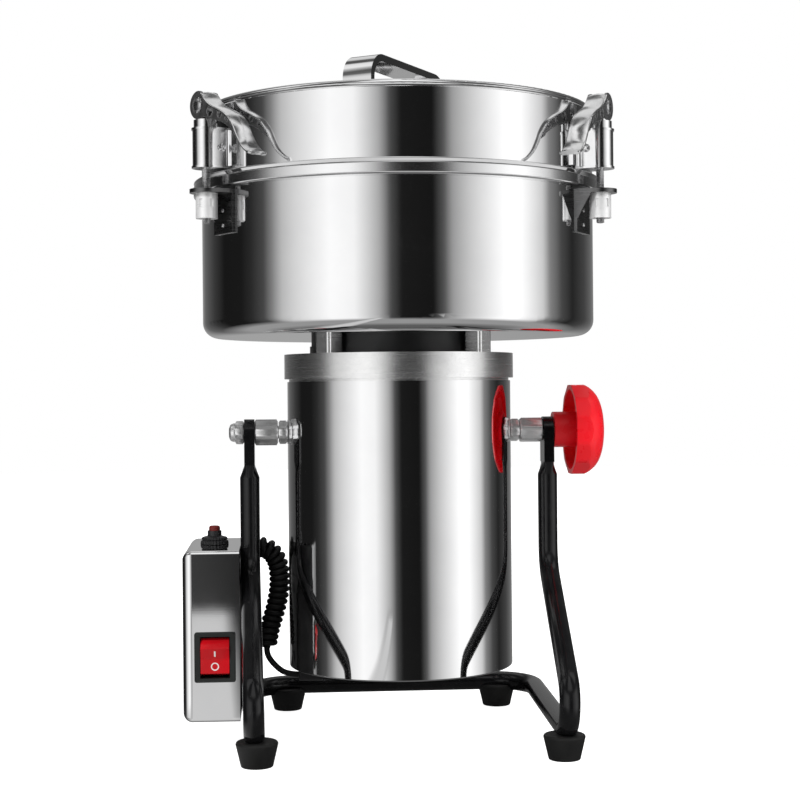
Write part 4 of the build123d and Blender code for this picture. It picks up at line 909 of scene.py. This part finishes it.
# Soft boxes and flags that stand in a ring round the mill, only seen in reflections. Each stop is
# an angle round the ring in degrees, counted from the front towards the right, and a level.
LEFT_BOX = [(-85, 0.07), (-79, 0.24), (-72, 0.56), (-64, 0.74), (-42, 1.14), (-28, 1.06), (-14, 0.45),
            (-8, 0.08)]
FRONT_FLAG = [(-2, 0.012), (16, 0.009)]
RIGHT_BOX = [(22, 0.10), (27, 0.38), (37, 0.67), (58, 1.20), (68, 1.25), (86, 0.69), (92, 0.25),
             (103, 0.07)]
REAR_BOX = [(115, 0.02), (133, 0.06), (150, 0.15), (172, 0.34)]
FAR_BOX = [(-172, 0.34), (-156, 0.13), (-136, 0.045), (-122, 0.010), (-104, 0.011), (-95, 0.026)]
RING_STOPS = [(-180, 0.37), *FAR_BOX, *LEFT_BOX, *FRONT_FLAG, *RIGHT_BOX, *REAR_BOX, (180, 0.37)]
# the overhead panels stand the same way on both sides: angle from the front, level
OVERHEAD = [(0, 1.05), (24, 0.95), (38, 0.10), (66, 0.08), (80, 0.95), (102, 0.85), (116, 0.09),
            (142, 0.10), (158, 0.70), (180, 0.75)]
DARK_BAND = 0.13                       # between the ring and the overhead panels
BELOW = 0.34                           # level under the floor, for rounded undersides
RING_RADIUS, RING_LOW, RING_HIGH, RING_APEX, RING_NADIR = 4.0, -7.0, 2.6, 3.8, -8.0
# the heights from which and to which each level takes over from the one before
BELOW_FADE, BAND_FADE, OVERHEAD_FADE = (-1.4, -2.8), (1.5, 2.3), (2.62, 2.85)


def studio_ring():
    """The ring of soft boxes, as one glowing wall round the object, closed above and below."""
    points, faces = band_round((RING_RADIUS, RING_LOW), (RING_RADIUS, RING_HIGH), 96)
    above, below = len(points), len(points) + 1
    points += [(0, 0, RING_APEX), (0, 0, RING_NADIR)]
    faces += [face for a, b, c, d in faces for face in ((d, c, above), (b, a, below))]

    wall = StageLook("studio_ring")
    parts = wall.parts(wall.place)
    angle = wall.maths("ARCTAN2", parts["X"], wall.maths("MULTIPLY", parts["Y"], -1.0))
    off_front = wall.maths("ABSOLUTE", angle)
    peak = max(level for _, level in RING_STOPS)
    level = wall.ramp(wall.ranged(angle, -math.pi, math.pi),
                      [((degrees + 180) / 360, level / peak) for degrees, level in RING_STOPS])
    panels = wall.ramp(wall.ranged(off_front, 0.0, math.pi),
                       [(degrees / 180, level / peak) for degrees, level in OVERHEAD])
    for fade, then in ((BELOW_FADE, BELOW / peak), (BAND_FADE, DARK_BAND / peak),
                       (OVERHEAD_FADE, panels)):
        level = wall.mixed(wall.ranged(parts["Z"], *fade), level, then)
    glow = wall.node("Emission", Strength=peak)
    wall.link(level, glow.inputs["Color"])
    wall.surface_from(glow)
    mirrored_only("studio_ring", points, faces, wall, 0)


FLOOR_RADIUS, FLOOR_GREY, FLOOR_GLOW = 3.5, 0.60, 0.95
FEET_PATCH = (0.27, 0.15)              # the radii where it begins and where it is full
# the light patch: from where to where it rises at each of its four edges
PATCH_FRONT, PATCH_BACK = (-0.724, -0.635), (-0.03, -0.05)
PATCH_LEFT, PATCH_RIGHT = (-0.175, -0.135), (-0.088, -0.104)
PATCH_SLANT = -0.05                    # it runs a little to the left towards the camera
FEET_LEVEL, PATCH_LEVEL = 0.12, 0.66


def studio_floor():
    """A round pale floor. It glows a little to the camera, so that it meets the backdrop unseen. In
    reflections it is a grey patch near the feet and a light one in front of the switch box, with
    nothing beyond them."""
    bpy.ops.mesh.primitive_circle_add(vertices=128, radius=FLOOR_RADIUS, fill_type="TRIFAN")
    floor = bpy.context.object
    floor.name = "studio_floor"
    paper = StageLook("studio_floor")
    parts = paper.parts(paper.place)
    feet = paper.ranged(paper.length(paper.place), *FEET_PATCH)
    slanted = paper.maths("MULTIPLY_ADD", parts["Y"], PATCH_SLANT, parts["X"])
    patch = paper.maths("MULTIPLY", paper.between(parts["Y"], PATCH_FRONT, PATCH_BACK),
                        paper.between(slanted, PATCH_LEFT, PATCH_RIGHT))
    near = paper.node("Emission")
    paper.link(paper.ranged(patch, 0.0, 1.0, FEET_LEVEL, PATCH_LEVEL), near.inputs["Color"])
    mirrored = paper.either(paper.maths("MAXIMUM", feet, patch), paper.node("BsdfTransparent"), near)

    white = paper.node("BsdfDiffuse", Color=(FLOOR_GREY, FLOOR_GREY, FLOOR_GREY, 1))
    glow = paper.node("Emission", Color=(1, 1, 1, 1), Strength=FLOOR_GLOW)
    glowing = paper.node("AddShader")
    paper.link(white.outputs["BSDF"], glowing.inputs[0])
    paper.link(glow.outputs["Emission"], glowing.inputs[1])
    rays = paper.node("LightPath").outputs
    plain = paper.either(rays["Is Camera Ray"], white, glowing)
    paper.surface_from(paper.either(rays["Is Glossy Ray"], plain, mirrored))
    floor.data.materials.append(paper.material)


CARD_HEIGHT, CARD_INNER, CARD_SOFT, CARD_OUTER = 0.30, 0.14, 0.20, 0.34
CARD_LEVEL, CARD_EDGE_LEVEL, CARD_MARGIN = 0.95, 0.08, 0.01


def reflector_card():
    """A white card laid round the bowl, seen from above and only in reflections: it lights the seam,
    the clamps' undersides and the nuts."""
    card = StageLook("reflector_card")
    radius = card.length(card.place)
    fade = card.ranged(radius, CARD_INNER + CARD_MARGIN, CARD_OUTER - CARD_MARGIN,
                       CARD_LEVEL, CARD_EDGE_LEVEL, interpolation_type="SMOOTHSTEP")
    rise = card.ranged(radius, CARD_INNER, CARD_SOFT, interpolation_type="SMOOTHSTEP")
    glow = card.node("Emission")
    card.link(card.maths("MULTIPLY", fade, rise), glow.inputs["Strength"])
    from_below = card.node("NewGeometry").outputs["Backfacing"]
    card.surface_from(card.either(from_below, glow, card.node("BsdfTransparent")))
    band = band_round((CARD_OUTER, 0), (CARD_INNER, 0), 64)
    mirrored_only("reflector_card", *band, card, CARD_HEIGHT)


WORLD_GREY = 0.52


def plain_world():
    """An even pale light for everything matt, and a white backdrop for the camera."""
    world = bpy.data.worlds.new("studio")
    scene.world = world
    world.use_nodes = True
    sky = Nodes(world.node_tree)
    even = sky.tree.nodes["Background"]
    even.inputs["Color"].default_value = (WORLD_GREY, WORLD_GREY, WORLD_GREY, 1)
    backdrop = sky.node("Background", Color=(1, 1, 1, 1))
    seen = sky.either(sky.node("LightPath").outputs["Is Camera Ray"], even, backdrop)
    sky.link(seen.outputs["Shader"], sky.tree.nodes["World Output"].inputs["Surface"])
    world.cycles_visibility.glossy = False


# each lamp's name, place, width in metres and power in watts. All aim at the mill's middle.
LAMPS = [("key_lamp", (-1.1, -1.5, 1.35), 0.55, 26), ("fill_lamp", (1.5, -1.0, 1.0), 0.55, 18),
         ("rear_lamp", (0.6, 1.6, 1.3), 0.6, 14)]
LAMP_AIM = Vector((0, MOTOR_Y, 0.22))


def soft_lamp(name, place, width, power):
    """A round lamp that isn't mirrored: only the ring and the card are."""
    data = bpy.data.lights.new(name, "AREA")
    data.shape, data.size, data.energy = "DISK", width, power
    lamp = linked(name, data)
    lamp.location = place
    lamp.rotation_euler = (LAMP_AIM - Vector(place)).to_track_quat("-Z", "Y").to_euler()
    lamp.visible_glossy = False


add_camera()
studio_ring()
studio_floor()
reflector_card()
plain_world()
for lamp in LAMPS:
    soft_lamp(*lamp)
scene.view_settings.view_transform = "Standard"
